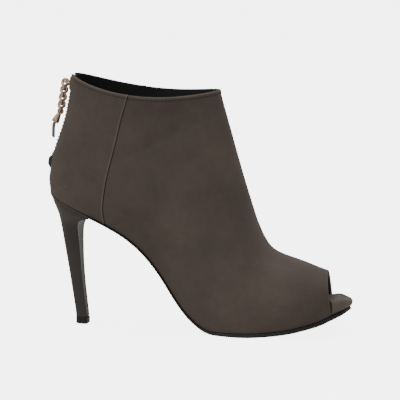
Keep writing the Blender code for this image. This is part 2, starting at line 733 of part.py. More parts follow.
def build_zip(fabric, metal, leather):
    """Closed zip in the slot up the back. Gives the middle of the bail, where the pull hangs."""
    foot = section_sizes([ZIP_FOOT_ROW]).sole_z[0]
    inner = WALL + 2 * GAP
    floor = -WALL - GAP
    heights = np.linspace(foot - TAPE_BELOW_SLOT, BOOT_HEIGHT - TAPE_DROP, 10)
    tape = [(z, TAPE_WIDTH / 2, -inner - TAPE, -inner) for z in heights]
    back_band("zip_tape", tape, fabric, half_columns=2)

    guard_foot = foot + 2 * GAP
    guard_top = guard_foot + GUARD_HEIGHT
    guard = [
        (guard_foot, 0.55 * GUARD_HALF, floor, 0.45 * GUARD_PROUD),
        (guard_foot + GUARD_HEIGHT / 2, 0.84 * GUARD_HALF, floor, GUARD_PROUD),
        (guard_top, GUARD_HALF, floor, GUARD_PROUD),
    ]
    back_band("zip_guard", guard, leather)

    stop_foot = guard_top + GAP
    stop_top = stop_foot + STOP_HEIGHT
    stop = [(z, STOP_HALF, floor, STOP_PROUD) for z in (stop_foot, stop_top)]
    back_band("zip_stop", stop, metal)

    low, high = TOOTH_ROOT / 2, TOOTH_WIDTH / 2
    teeth = []
    z = stop_top + GAP
    while z < BOOT_HEIGHT - TEETH_DROP:
        for step, half_width in ((0.0, low), (0.05, high), (0.55, high), (0.60, low)):
            teeth.append((z + step * TOOTH_PITCH, half_width, floor, -GAP / 2))
        z += TOOTH_PITCH
    back_band("zip_teeth", teeth, metal)

    slider_z = BOOT_HEIGHT - SLIDER_DROP
    slider_cuts = []
    for cut in SLIDER_CUTS:
        z = slider_z + (cut.up - 0.5) * SLIDER_HEIGHT
        slider_cuts.append((z, cut.half_width * SLIDER_HALF, GAP, cut.proud * SLIDER_PROUD))
    slider = back_band("zip_slider", slider_cuts, metal)
    row = back_row(slider_z)
    base = back_point(row, 0.0, 0.0)
    out = back_point(row, 0.0, 1.0) - base
    flat = np.array([0.0, 1.0, 0.0])
    half_bail = [
        bend.aside * BAIL_HALF * flat + bend.reach * BAIL_REACH * out for bend in BAIL_BENDS
    ]
    other_half = [bend * (1, -1, 1) for bend in half_bail[::-1]]
    path = base + np.array(half_bail + other_half)
    facing = path - (base + 0.5 * BAIL_REACH * out)
    rings = tube(path, facing, BAIL_WIRE, 8, closed=False)
    union(slider, ring_solid("bail_helper", list(rings), metal))
    return base + BAIL_REACH * out


def build_pull(hinge, metal, leather):
    """Chain from the slider's bail, its flared cap and the strip held in the cap."""
    down = np.array([-np.sin(CHAIN_LEAN), 0.0, -np.cos(CHAIN_LEAN)])
    pitch = LINK_LENGTH - GAP
    for number in range(LINKS):
        path, facing = link_path(hinge + number * pitch * down, down, np.pi / 2)
        closed_tube(f"pull_link_{number + 1}", tube(path, facing, LINK_WIRE, 6, True), metal)
    eye = hinge + (LINKS * pitch) * down
    lean = np.array([-np.sin(CAP_LEAN), 0.0, -np.cos(CAP_LEAN)])
    across = np.array([-lean[2], 0.0, lean[0]])
    flat = np.array([0.0, 1.0, 0.0])
    angles = np.arange(14) * 2 * np.pi / 14
    turned = np.cos(angles)[:, None] * across + np.sin(angles)[:, None] * lean
    ring = tube(eye + (LINK_HOLE + EYE_WIRE) * turned, turned, EYE_WIRE, 8, True)
    helper = closed_tube("eye_helper", ring, metal)
    circle = np.cos(angles)[:, None] * across + np.sin(angles)[:, None] * flat
    rings = []
    for turn in CAP_RINGS:
        rings.append(eye + turn.along * CAP_LENGTH * lean + turn.radius * CAP_RADIUS * circle)
    union(ring_solid("pull_cap", rings, metal), helper)
    start = eye + (CAP_RINGS[-1].along * CAP_LENGTH + GAP) * lean
    bend = eye + (CAP_LENGTH + GAP) * lean
    drop = np.array([-np.sin(STRIP_LEAN), 0.0, -np.cos(STRIP_LEAN)])
    drop_across = np.array([-drop[2], 0.0, drop[0]])
    corners = ((-1, -1), (-1, 1), (1, 1), (1, -1))
    rings = []
    for place, facing in (
        (start, across),
        (bend, across),
        (bend + 0.3 * STRIP_DROP * (drop + lean) / 2, across),
        (bend + STRIP_DROP * drop, drop_across),
    ):
        thick = STRIP_THICK / 2 * facing
        wide = STRIP_WIDTH / 2 * flat
        rings.append(np.array([place + a * thick + b * wide for a, b in corners]))
    ring_solid("pull_strip", rings, leather, smooth=False)


def build_boot():
    """The whole boot, and the middle of the bail."""
    for existing in list(bpy.data.objects):
        bpy.data.objects.remove(existing, do_unlink=True)
    leather = look("mottled leather", (0.075, 0.055, 0.046), 0.45)
    heel_leather = look("heel leather", (0.060, 0.050, 0.041), 0.42)
    rim_leather = look("toe rim leather", (0.120, 0.100, 0.080), 0.50)
    strip_leather = look("strip leather", (0.250, 0.210, 0.170), 0.60)
    lining = look("sock lining", (0.020, 0.018, 0.018), 0.80)
    sole_rubber = look("sole", (0.012, 0.011, 0.010), 0.40)
    tip_rubber = look("heel tip", (0.015, 0.014, 0.013), 0.50)
    tape = look("zip tape", (0.012, 0.012, 0.012), 0.90)
    brass = look("zip metal", (0.350, 0.280, 0.200), 0.35, 1.0)
    rose = look("chain metal", (0.720, 0.430, 0.320), 0.25, 1.0)
    build_upper(leather)
    build_sole_parts(sole_rubber, rim_leather, lining)
    build_heel(heel_leather, tip_rubber)
    hinge = build_zip(tape, brass, leather)
    build_pull(hinge, rose, strip_leather)
    return hinge


build_boot()
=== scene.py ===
"""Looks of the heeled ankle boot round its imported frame: leather, lining, sole, heel, zip, chain.

Metres, +Z up, +X to the toe, +Y to the inner side of the foot, as in the frame.
"""

from collections import namedtuple

import bmesh
import bpy
import numpy as np
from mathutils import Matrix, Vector


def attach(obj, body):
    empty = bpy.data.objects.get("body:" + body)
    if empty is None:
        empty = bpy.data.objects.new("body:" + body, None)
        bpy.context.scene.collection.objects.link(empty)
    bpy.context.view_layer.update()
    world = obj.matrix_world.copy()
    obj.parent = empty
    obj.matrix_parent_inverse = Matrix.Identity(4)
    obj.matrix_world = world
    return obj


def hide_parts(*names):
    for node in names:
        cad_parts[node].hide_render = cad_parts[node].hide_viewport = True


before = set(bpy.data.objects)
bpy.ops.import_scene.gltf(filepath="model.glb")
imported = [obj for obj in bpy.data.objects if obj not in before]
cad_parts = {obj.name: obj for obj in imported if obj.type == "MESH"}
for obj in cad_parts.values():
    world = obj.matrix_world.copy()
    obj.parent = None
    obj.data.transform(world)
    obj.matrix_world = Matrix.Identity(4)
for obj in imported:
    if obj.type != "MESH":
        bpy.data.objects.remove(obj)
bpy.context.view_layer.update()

# Sizes shared with the solids
LENGTH = 0.2245
BACK_X = -0.024
HEEL_HEIGHT = 0.098
BOOT_HEIGHT = 0.1855
BALL_WIDTH = 0.079
WALL = 0.002
GAP = 0.0003
MARGIN = 0.009
COLLAR_DIP = 0.0080
TOE_SWING = 0.14
SOLE_FRONT = 0.003
SOLE_WAIST = 0.0016
SOLE_LEDGE = 0.0009
PLATFORM_TOP = 0.0118
PLATFORM_TOE = 0.0095
RIM_FRONT = 0.0068
RIM_BACK = 0.0123
RIM_LEAN = 0.24
SOLE_TIP_SHARE = 0.5
SOLE_TIP_INSET = 0.0006
INSOLE = 0.0022
RIM_BELLY = 0.42
RIM_FOOT_ROUND = 0.0014
RIM_TOP_ROUND = 0.0056
TIP_EASE_ROW = 1.5
TIP_EASE_TURNS = 12
SLOT = 0.010
TAPE_WIDTH = 0.0145
TAPE = 0.0009
TAPE_BELOW_SLOT = 0.006
TAPE_DROP = 0.0012
GUARD_HEIGHT = 0.0094
GUARD_HALF = 0.0043
GUARD_PROUD = 0.0027
STOP_HEIGHT = 0.0025
STOP_HALF = 0.0030
STOP_PROUD = 0.0011
TEETH_DROP = 0.0035
SLIDER_DROP = 0.0075
SLIDER_HEIGHT = 0.0095
SLIDER_HALF = 0.0038
SLIDER_PROUD = 0.0013
BAIL_REACH = 0.0045
BAIL_HALF = 0.0024
BAIL_WIRE = 0.00075
LINKS = 4
LINK_LENGTH = 0.0058
LINK_HOLE = 0.00115
LINK_WIRE = 0.000875
LINK_CROWN = 0.00027
CAP_LENGTH = 0.0089
CAP_RADIUS = 0.0030
EYE_WIRE = 0.0007
CHAIN_LEAN = np.radians(10)
CAP_LEAN = np.radians(28)
STRIP_LEAN = np.radians(6)
STRIP_WIDTH = 0.0030
STRIP_THICK = 0.0022
STRIP_DROP = 0.0115
HEEL_ROUND = np.radians(112)
TIP_HEIGHT = 0.0050
TIP_HALF = 0.0047
SIDEWAYS = np.array([0.0, 1.0, 0.0])

# Profile of the sole's edge from its top down, with a painted highlight along a groove. Depth is a
# share of the sole's thickness and inset one of its ledge; tone is the painted highlight.
EdgeTurn = namedtuple("EdgeTurn", "depth inset tone")
SOLE_EDGE = (
    EdgeTurn(0.0, -0.55, 0.0),
    EdgeTurn(0.05, -0.8, 0.0),
    EdgeTurn(0.16, -0.98, 0.1),
    EdgeTurn(0.34, -1.0, 0.9),
    EdgeTurn(0.42, -0.8, 0.9),
    EdgeTurn(0.50, -0.97, 0.5),
    EdgeTurn(0.66, -0.95, 0.0),
    EdgeTurn(0.80, -0.75, 0.0),
    EdgeTurn(0.93, -0.3, 0.0),
    EdgeTurn(1.0, 0.4, 0.0),
)

# Profiles of the platform's rim and of the insole's bound edge, from the foot up. Rise is a share
# of the height.
RimTurn = namedtuple("RimTurn", "rise inset")
INSOLE_EDGE = (
    RimTurn(0.0, 0.0003),
    RimTurn(0.2, 0.0),
    RimTurn(0.6, 0.0),
    RimTurn(0.85, 0.0003),
    RimTurn(0.97, 0.0009),
    RimTurn(1.0, 0.0018),
)

# Soft patches of painted light on the leather in side view, lighter where the forefoot and the low
# quarter catch more light: middle, reach and tone
PaintedLightPatch = namedtuple("PaintedLightPatch", "x z reach tone")
PAINTED_LIGHT_PATCHES = (
    PaintedLightPatch(0.000, 0.108, 0.024, 0.20),
    PaintedLightPatch(0.150, 0.030, 0.036, 0.17),
    PaintedLightPatch(0.085, 0.105, 0.040, 0.09),
    PaintedLightPatch(0.060, 0.070, 0.020, 0.08),
)

# Piping along the heel's upper edge with a painted highlight, and the groove over it darkened with
# painted shade. Rise is a share of the way from the heel's last cut to the seat; tone is the painted
# light.
PipingTurn = namedtuple("PipingTurn", "rise inset tone")
HEEL_PIPING = (
    PipingTurn(0.30, 0.0, 0.0),
    PipingTurn(0.48, -0.00015, 0.5),
    PipingTurn(0.66, -0.0002, 0.85),
    PipingTurn(0.78, -0.00005, 0.2),
    PipingTurn(0.84, 0.0008, -0.8),
    PipingTurn(1.0, 0.0014, -0.9),
)

# Breast of the heel: its hollow as a share of its width, tone of its two edges, and tone by height
BREAST_COLUMNS = 9
BREAST_HOLLOW = 0.10
BREAST_EDGE_TONE = -0.55
BREAST_TONE_HEIGHTS = (0.1, 0.5, 0.8)
BREAST_TONES = (-0.45, -0.1, 0.45)

# Rounded edges of the heel's tip: height and how far each cut is drawn in
TIP_EDGE = (
    (0.0, 0.0006),
    (0.0002, 0.0002),
    (0.0006, 0.0),
    (TIP_HEIGHT - 0.0004, 0.0),
    (TIP_HEIGHT, 0.00015),
)

# Rows of SECTIONS where something starts or ends
RIM_END_ROW = 2.985
RIM_SEAT_ROW = 3.0
INSOLE_ROW = 3.125
TOE_ROW = 3
BALL_ROW = 9
WAIST_ROW = 13
BREAST_ROW = 17
HEEL_BACK_ROW = 22
ZIP_FOOT_ROW = 24
FINE = 241

# Finish of the upper
SIDE_COLUMNS = 68
ROW_STEP = 0.125
EDGE_ROUND = 0.0005
EDGE_REACH = 0.005
FOLD_HEIGHT = 0.0026
STITCH_PITCH = 0.0026
STITCH_LENGTH = 0.0019
STITCH_RADIUS = 0.00022
STITCH_BOW = (-0.4, 0.6, 1.0, 0.6, -0.4)
STITCH_TAPER = (0.4, 0.9, 1.0, 0.9, 0.4)
CREASE_CALM = 0.012
TOE_FOLD_SHARE = 0.7
# Painted highlight on the leather's rounded edges, as on the lit rim of the collar.
PAINTED_EDGE_HIGHLIGHT = 0.18
EDGE_ANGLES = np.radians([30, 60, 90, 120, 150])

# Marks along an edge or a seam of the leather: middle, half width, lift and tone of each. The tone is
# painted light: painted highlights on folded edges and lapped lips, painted shade in creases and
# grooves.
Mark = namedtuple("Mark", "middle half_width lift tone")
# Fold: a rolled lip and a sunk crease, with a painted highlight on the folded edge and painted shade
# along the crease.
FOLD_MARKS = (
    Mark(0.45 * FOLD_HEIGHT, 0.45 * FOLD_HEIGHT, 0.00022, 0.0),
    Mark(FOLD_HEIGHT, 0.0004, -0.00022, 0.0),
    Mark(0.0, 0.55 * FOLD_HEIGHT, 0.0, 0.30),
    Mark(FOLD_HEIGHT, 0.0005, 0.0, -0.22),
)
# Seam: a sunk groove darkened with painted shade; SEAM_LIP is the lapped lip with a painted highlight.
SEAM_MARKS = (
    Mark(0.00022, 0.00030, -0.00042, 0.0),
    Mark(0.00020, 0.00040, 0.0, -0.75),
)
SEAM_LIP = Mark(-0.00055, 0.00050, 0.00038, 0.75)
SEAM_LAP = 0.0016
SEAM_OFF_MIDDLE = 0.008
SEAM_LOW = 0.07
SEAM_SPAN = (-0.01, 0.06)
SEAM_REFINED = (0.0030, 0.0018, 0.0010)
SEAM_REACH = 0.006
SEAM_EASE = 12

# Photo: the part of the scene that the camera frames
CAMERA_TURN = np.radians(12)
CAMERA_RISE = np.radians(8.5)
CAMERA_DISTANCE = 2.8
CAMERA_AIM = (0.0884, 0.0007, 0.0942)
PHOTO_SIZE = 400
FOCAL_PIXELS = 3841.6
SENSOR = 36.0

# Studio
FLOOR_REACH = 14.0
FLOOR_GLOW = 5.0
WORLD_LIGHT = 0.42
KEY_WATTS = 7.5
TOP_WATTS = 6.0

# Sole point, sole edge, ridge point and widest place of each section, from the toe round the
# heel to the collar. X is a share of LENGTH from the back, ridge Z of BOOT_HEIGHT, widths of
# BALL_WIDTH, and belly of the way from the sole to the ridge. Sole Z is a share of HEEL_HEIGHT
# up to 1, and from there to 2 of the way on to BOOT_HEIGHT.
Section = namedtuple(
    "Section", "sole_x sole_z edge_out edge_in ridge_x ridge_z wide_out wide_in belly"
)
SECTIONS = (
    Section(0.9950, 0.1960, -0.013, 0.139, 0.9905, 0.1456, 0.006, 0.158, 0.45),
    Section(0.9826, 0.1867, 0.082, 0.222, 0.9755, 0.1833, 0.104, 0.243, 0.42),
    Section(0.9648, 0.1714, 0.168, 0.287, 0.9523, 0.2157, 0.196, 0.316, 0.40),
    Section(0.9372, 0.1480, 0.238, 0.342, 0.9229, 0.2399, 0.268, 0.370, 0.38),
    Section(0.9154, 0.1265, 0.308, 0.390, 0.8931, 0.2528, 0.344, 0.425, 0.34),
    Section(0.8775, 0.1010, 0.377, 0.430, 0.8530, 0.2717, 0.418, 0.468, 0.31),
    Section(0.8285, 0.0735, 0.428, 0.456, 0.8107, 0.2895, 0.470, 0.494, 0.29),
    Section(0.7751, 0.0531, 0.453, 0.459, 0.7706, 0.3062, 0.496, 0.500, 0.28),
    Section(0.7171, 0.0388, 0.462, 0.451, 0.7367, 0.3300, 0.505, 0.495, 0.28),
    Section(0.6592, 0.0316, 0.456, 0.423, 0.7136, 0.3666, 0.497, 0.480, 0.28),
    Section(0.6058, 0.0316, 0.438, 0.380, 0.6980, 0.4097, 0.478, 0.458, 0.29),
    Section(0.5635, 0.0367, 0.413, 0.339, 0.6851, 0.4528, 0.454, 0.437, 0.30),
    Section(0.5212, 0.0821, 0.382, 0.301, 0.6730, 0.5003, 0.429, 0.414, 0.32),
    Section(0.4633, 0.2091, 0.349, 0.268, 0.6581, 0.5595, 0.404, 0.392, 0.34),
    Section(0.4009, 0.4204, 0.327, 0.253, 0.6430, 0.6200, 0.386, 0.378, 0.36),
    Section(0.3296, 0.6132, 0.313, 0.257, 0.6290, 0.6792, 0.378, 0.372, 0.38),
    Section(0.2494, 0.7479, 0.310, 0.278, 0.6157, 0.7358, 0.377, 0.371, 0.40),
    Section(0.1604, 0.8500, 0.314, 0.304, 0.6043, 0.7871, 0.377, 0.372, 0.40),
    Section(0.1069, 0.9020, 0.306, 0.304, 0.5977, 0.8140, 0.377, 0.373, 0.40),
    Section(0.0624, 0.9459, 0.269, 0.269, 0.5925, 0.8366, 0.376, 0.373, 0.37),
    Section(0.0312, 0.9765, 0.205, 0.205, 0.5886, 0.8528, 0.375, 0.372, 0.35),
    Section(0.0143, 0.9929, 0.137, 0.137, 0.5864, 0.8625, 0.373, 0.372, 0.34),
    Section(0.0071, 1.0000, 0.063, 0.063, 0.5842, 0.8711, 0.372, 0.371, 0.34),
    Section(0.0000, 1.0857, 0.000, 0.000, 0.5817, 0.8825, 0.370, 0.368, 0.35),
    Section(0.0036, 1.1829, 0.000, 0.000, 0.5791, 0.8938, 0.366, 0.365, 0.38),
    Section(0.0125, 1.3085, 0.000, 0.000, 0.5764, 0.9057, 0.361, 0.359, 0.41),
    Section(0.0303, 1.4503, 0.000, 0.000, 0.5738, 0.9170, 0.359, 0.358, 0.44),
    Section(0.0494, 1.5942, 0.000, 0.000, 0.5717, 0.9267, 0.363, 0.362, 0.45),
    Section(0.0637, 1.7463, 0.000, 0.000, 0.5700, 0.9359, 0.371, 0.370, 0.46),
    Section(0.0722, 1.8823, 0.000, 0.000, 0.5691, 0.9423, 0.378, 0.377, 0.47),
    Section(0.0771, 2.0000, 0.000, 0.000, 0.5688, 0.9477, 0.384, 0.382, 0.47),
)
LAST_ROW = len(SECTIONS) - 1

# Level cuts of the heel from its foot up. Back X is a share of BACK_X, front X of where the
# seat starts at the breast, Z of HEEL_HEIGHT and half width of BALL_WIDTH. The last column is
# how much of the seat's own outline a cut has.
HeelCut = namedtuple("HeelCut", "back_x back_z front_x front_z half_width seat_share")
HEEL_CUTS = (
    HeelCut(0.192, 0.054, 0.367, 0.054, 0.057, 0.00),
    HeelCut(0.225, 0.125, 0.302, 0.125, 0.058, 0.00),
    HeelCut(0.306, 0.255, 0.180, 0.255, 0.061, 0.00),
    HeelCut(0.392, 0.390, 0.073, 0.385, 0.068, 0.00),
    HeelCut(0.482, 0.520, 0.008, 0.505, 0.078, 0.00),
    HeelCut(0.568, 0.645, -0.033, 0.610, 0.096, 0.05),
    HeelCut(0.641, 0.755, -0.065, 0.720, 0.134, 0.25),
    HeelCut(0.706, 0.840, 0.033, 0.775, 0.192, 0.55),
    HeelCut(0.784, 0.900, 0.277, 0.808, 0.252, 0.80),
    HeelCut(0.862, 0.955, 0.620, 0.821, 0.293, 0.95),
    HeelCut(0.902, 0.982, 0.873, 0.829, 0.309, 1.00),
)

# Side view of the seam between the vamp and the back quarter, from the collar down
SeamPoint = namedtuple("SeamPoint", "x z")
SEAM = (
    SeamPoint(0.0432, 0.1780),
    SeamPoint(0.0357, 0.1544),
    SeamPoint(0.0305, 0.1321),
    SeamPoint(0.0250, 0.1108),
    SeamPoint(0.0220, 0.0937),
    SeamPoint(0.0215, 0.0854),
    SeamPoint(0.0236, 0.0750),
)

# Soft troughs (negative lift) and ridges of the leather as lines in side view. Side is -1 for
# the outer side, 1 for the inner side and 0 for both.
Crease = namedtuple("Crease", "x_from z_from x_to z_to half_width lift side")
CREASES = (
    Crease(0.052, 0.130, 0.082, 0.122, 0.0080, -0.0007, 0),
    Crease(0.056, 0.112, 0.092, 0.100, 0.0070, 0.0004, 0),
    Crease(0.030, 0.150, 0.012, 0.112, 0.0080, -0.0005, 0),
    Crease(0.000, 0.142, 0.014, 0.118, 0.0060, 0.0004, 0),
    Crease(0.094, 0.080, 0.116, 0.058, 0.0090, -0.0006, -1),
    Crease(0.100, 0.082, 0.120, 0.052, 0.0080, -0.0005, 1),
    Crease(0.078, 0.050, 0.104, 0.026, 0.0080, 0.0004, 0),
    Crease(0.130, 0.040, 0.150, 0.022, 0.0090, -0.0004, 0),
)


def unit(vectors):
    """Vectors at length one, along the last axis."""
    return vectors / np.linalg.norm(vectors, axis=-1, keepdims=True)


def bell(away, reach):
    """One in the middle, fading to nothing past the reach."""
    return np.exp(-((away / reach) ** 2))


def run_along(path):
    """Length run along a path at each of its points."""
    return np.r_[0, np.cumsum(np.linalg.norm(np.diff(path, axis=0), axis=1))]


def spline(knots, at):
    """Smooth curve through evenly spaced knots with free ends, read at the given rows."""
    knots = np.asarray(knots, float)
    count = len(knots)
    bends = np.zeros_like(knots)
    inner = 4 * np.eye(count - 2) + np.eye(count - 2, k=1) + np.eye(count - 2, k=-1)
    bends[1:-1] = np.linalg.solve(inner, 6 * (knots[2:] - 2 * knots[1:-1] + knots[:-2]))
    low = np.clip(np.floor(at).astype(int), 0, count - 2)
    after = (at - low)[:, None]
    before = 1 - after
    bow = (before**3 - before) * bends[low] + (after**3 - after) * bends[low + 1]
    return before * knots[low] + after * knots[low + 1] + bow / 6


def metre_sections():
    """SECTIONS with its shares turned into metres."""
    share = Section(*np.array(SECTIONS, float).T)
    under_foot = np.minimum(share.sole_z, 1) * HEEL_HEIGHT
    up_the_back = np.maximum(share.sole_z - 1, 0) * (BOOT_HEIGHT - HEEL_HEIGHT)
    columns = Section(
        BACK_X + share.sole_x * LENGTH,
        under_foot + up_the_back,
        share.edge_out * BALL_WIDTH,
        share.edge_in * BALL_WIDTH,
        BACK_X + share.ridge_x * LENGTH,
        share.ridge_z * BOOT_HEIGHT,
        share.wide_out * BALL_WIDTH,
        share.wide_in * BALL_WIDTH,
        share.belly,
    )
    return np.stack(columns, axis=1)


METRE_SECTIONS = metre_sections()


def section_sizes(at):
    """Columns of SECTIONS in metres at the given rows."""
    return Section(*spline(METRE_SECTIONS, np.asarray(at, float)).T)


def seat_curve():
    """Side view of the line where the upper meets the sole, from heel to toe."""
    rows = np.arange(0, HEEL_BACK_ROW - 1 + ROW_STEP / 2, ROW_STEP)
    sizes = section_sizes(np.append(rows, HEEL_BACK_ROW))
    return sizes.sole_x[::-1], sizes.sole_z[::-1]


SEAT_X, SEAT_Z = seat_curve()
SEAT_SLOPE = np.gradient(SEAT_Z, SEAT_X)


def seat_point(x, y, lift):
    """Points over the seat line, lifted along its own upward normal."""
    slope = np.interp(x, SEAT_X, SEAT_SLOPE)
    size = np.hypot(slope, 1)
    z = np.interp(x, SEAT_X, SEAT_Z)
    return np.stack([x - lift * slope / size, y, z + lift / size], axis=-1)


def seat_up(x):
    """Upward unit normal of the seat at each x."""
    slope = np.interp(x, SEAT_X, SEAT_SLOPE)
    size = np.hypot(slope, 1)
    return np.stack([-slope / size, np.zeros_like(x), 1 / size], axis=-1)


def toe_swing(at):
    """How far each section is turned towards the inner side, as a slope in plan."""
    return TOE_SWING * np.clip((BALL_ROW - at) / (BALL_ROW - TOE_ROW), 0, 1)


def half_ring(row, side, count):
    """One side of a section, from its sole edge or zip edge to the ridge, evenly spaced."""
    sole_x, sole_z, edge_out, edge_in, ridge_x, ridge_z, wide_out, wide_in, belly = (
        column[0] for column in section_sizes([row])
    )
    middle = (wide_in - wide_out) / 2
    wide = (wide_in + wide_out) / 2
    edge = max(edge_in - middle if side > 0 else edge_out + middle, 0)
    share = (1 - np.cos(np.linspace(0, np.pi, FINE))) / 2
    below = np.clip(1 - share / belly, 0, 1)
    above = np.clip((share - belly) / (1 - belly), 0, 1)
    start = (edge / wide) ** 2
    swell = np.where(share < belly, start + (1 - start) * (1 - below**2), 1 - above**2)
    half = wide * np.sqrt(np.clip(swell, 0, None))
    x = sole_x + share * (ridge_x - sole_x) - side * toe_swing(row) * half
    z = sole_z + share * (ridge_z - sole_z)
    if row <= HEEL_BACK_ROW:
        z += (1 - share) * (np.interp(x[0], SEAT_X, SEAT_Z) - sole_z)
    dip = np.clip((row - LAST_ROW + 5) / 5, 0, 1) ** 2
    z -= COLLAR_DIP * dip * 4 * share * (1 - share)
    points = np.stack([x, middle + side * half, z], axis=1)
    along = run_along(points)
    first = 0.0
    if row > HEEL_BACK_ROW:
        first = np.interp(SLOT / 2, half[: FINE // 3], along[: FINE // 3])
    places = np.linspace(first, along[-1], count + 1)
    return np.stack([np.interp(places, along, axis) for axis in points.T], axis=1)


def surface_normals(grid):
    """Unit normals of a grid of points, outwards on the boot."""
    return unit(np.cross(np.gradient(grid, axis=1), np.gradient(grid, axis=0)))


def skin(at, count):
    """Grid of the upper's outer surface, outer side to inner side."""
    rings = []
    for row in at:
        outer_side = half_ring(row, -1, count)
        inner_side = half_ring(row, 1, count)
        rings.append(np.concatenate([outer_side, inner_side[-2::-1]]))
    return np.array(rings)


def back_point(row, y, out):
    """Point on the boot's back near its centre line, moved outwards by out."""

    def surface(at, across):
        """Point of the bare surface at a row, this far across."""
        size = section_sizes([at])
        wide = (size.wide_in[0] + size.wide_out[0]) / 2
        share = size.belly[0] * (1 - np.sqrt(1 - (across / wide) ** 2))
        return np.array(
            [
                size.sole_x[0] + share * (size.ridge_x[0] - size.sole_x[0]),
                across,
                size.sole_z[0] + share * (size.ridge_z[0] - size.sole_z[0]),
            ]
        )

    step = 0.02
    up = surface(min(row + step, LAST_ROW), y) - surface(row - step, y)
    across = surface(row, y + WALL / 4) - surface(row, y - WALL / 4)
    return surface(row, y) + out * unit(np.cross(up, across))


def back_row(z):
    """Row of SECTIONS whose back point is at height z."""
    rows = np.linspace(HEEL_BACK_ROW + 1, LAST_ROW, 200)
    return float(np.interp(z, section_sizes(rows).sole_z, rows))


def plan_outline(at):
    """Sole edge in plan as one loop: outer side to the heel, its back, inner side to the toe."""
    size = section_sizes(at)
    swing = toe_swing(at)
    middle = (size.wide_in - size.wide_out) / 2
    outer = np.stack([size.sole_x + swing * (size.edge_out + middle), -size.edge_out], axis=1)
    inner = np.stack([size.sole_x - swing * (size.edge_in - middle), size.edge_in], axis=1)
    back = np.array([[size.sole_x[-1] - GAP, 0.0]])
    return np.concatenate([outer, back, inner[::-1]])


def inward(outline):
    """Unit normals of the plan outline, pointing into the sole."""
    tangent = np.roll(outline, -1, axis=0) - np.roll(outline, 1, axis=0)
    normal = unit(np.stack([-tangent[:, 1], tangent[:, 0]], axis=1))
    centre = outline.mean(axis=0)
    turned = np.sum(normal * (centre - outline)) < 0
    return -normal if turned else normal


def bulge(rows, sides, lift):
    """How far the upper's side stands outside its sole edge at a height over the seat."""
    size = section_sizes(rows)
    middle = (size.wide_in - size.wide_out) / 2
    wide = (size.wide_in + size.wide_out) / 2
    edge = np.where(sides > 0, size.edge_in - middle, size.edge_out + middle)
    height = np.hypot(size.ridge_x - size.sole_x, size.ridge_z - size.sole_z)
    below = np.clip(1 - lift / height / size.belly, 0, 1)
    start = (edge / wide) ** 2
    fading = np.interp(rows, [WAIST_ROW, BREAST_ROW + 1], [1, 0])
    return fading * (wide * np.sqrt(start + (1 - start) * (1 - below**2)) - edge)


# Materials: scales of the leather's mottling and pores, and its bumps
CLOUD_SCALE = 22.0
MOTTLE_SCALE = 190.0
MOTTLE_SHARE = 0.35
PORE_SCALE = 1500.0
PORE_DEPTH = 0.00005
LeatherBump = namedtuple("LeatherBump", "scale depth strength")
LEATHER_BUMPS = (
    LeatherBump(2600.0, 0.00006, 0.6),
    LeatherBump(260.0, 0.00012, 0.35),
)


def add_node(tree, kind, **inputs):
    """Shader node with its inputs set by name, spaces as underscores."""
    node = tree.nodes.new(kind)
    for name, value in inputs.items():
        node.inputs[name.replace("_", " ")].default_value = value
    return node


def new_material(name, colour, roughness, metallic=0.0, **inputs):
    """Principled material and its tree, shader and object coordinates."""
    made = bpy.data.materials.new(name)
    made.use_nodes = True
    made.diffuse_color = (*colour, 1.0)
    tree = made.node_tree
    shader = tree.nodes["Principled BSDF"]
    shader.inputs["Base Color"].default_value = (*colour, 1.0)
    shader.inputs["Roughness"].default_value = roughness
    shader.inputs["Metallic"].default_value = metallic
    for key, value in inputs.items():
        shader.inputs[key.replace("_", " ")].default_value = value
    coords = tree.nodes.new("ShaderNodeTexCoord").outputs["Object"]
    return made, tree, shader, coords


def noise(tree, coords, scale, detail=4.0, roughness=0.55):
    """Value between 0 and 1 of a cloudy texture."""
    node = add_node(tree, "ShaderNodeTexNoise", Scale=scale, Detail=detail, Roughness=roughness)
    tree.links.new(coords, node.inputs["Vector"])
    return node.outputs["Fac"]


def ramp(tree, value, stops):
    """Colours or greys along a value between 0 and 1."""
    node = tree.nodes.new("ShaderNodeValToRGB")
    band = node.color_ramp
    while len(band.elements) < len(stops):
        band.elements.new(0.5)
    for element, (place, colour) in zip(band.elements, stops):
        element.position = place
        element.color = (*colour, 1.0)
    tree.links.new(value, node.inputs["Fac"])
    return node.outputs["Color"]


def math_node(tree, operation, first, second):
    """Result of a sum or product of sockets or plain numbers."""
    node = tree.nodes.new("ShaderNodeMath")
    node.operation = operation
    for socket, value in zip(node.inputs, (first, second)):
        if isinstance(value, (int, float)):
            socket.default_value = value
        else:
            tree.links.new(value, socket)
    return node.outputs[0]


def add_bump(tree, shader, height, distance, strength=1.0):
    """Stacks one more bump on the shader's normal."""
    node = add_node(tree, "ShaderNodeBump", Strength=strength, Distance=distance)
    tree.links.new(height, node.inputs["Height"])
    socket = shader.inputs["Normal"]
    if socket.is_linked:
        tree.links.new(socket.links[0].from_socket, node.inputs["Normal"])
    tree.links.new(node.outputs["Normal"], socket)


def toned(tree, colour):
    """A colour brightened or darkened by the mesh's tone attribute, which carries painted light and
    shade.
    """
    reader = tree.nodes.new("ShaderNodeAttribute")
    reader.attribute_name = "tone"
    factor = math_node(tree, "ADD", reader.outputs["Fac"], 1.0)
    node = tree.nodes.new("ShaderNodeVectorMath")
    node.operation = "SCALE"
    tree.links.new(colour, node.inputs[0])
    tree.links.new(factor, node.inputs["Scale"])
    return node.outputs["Vector"]


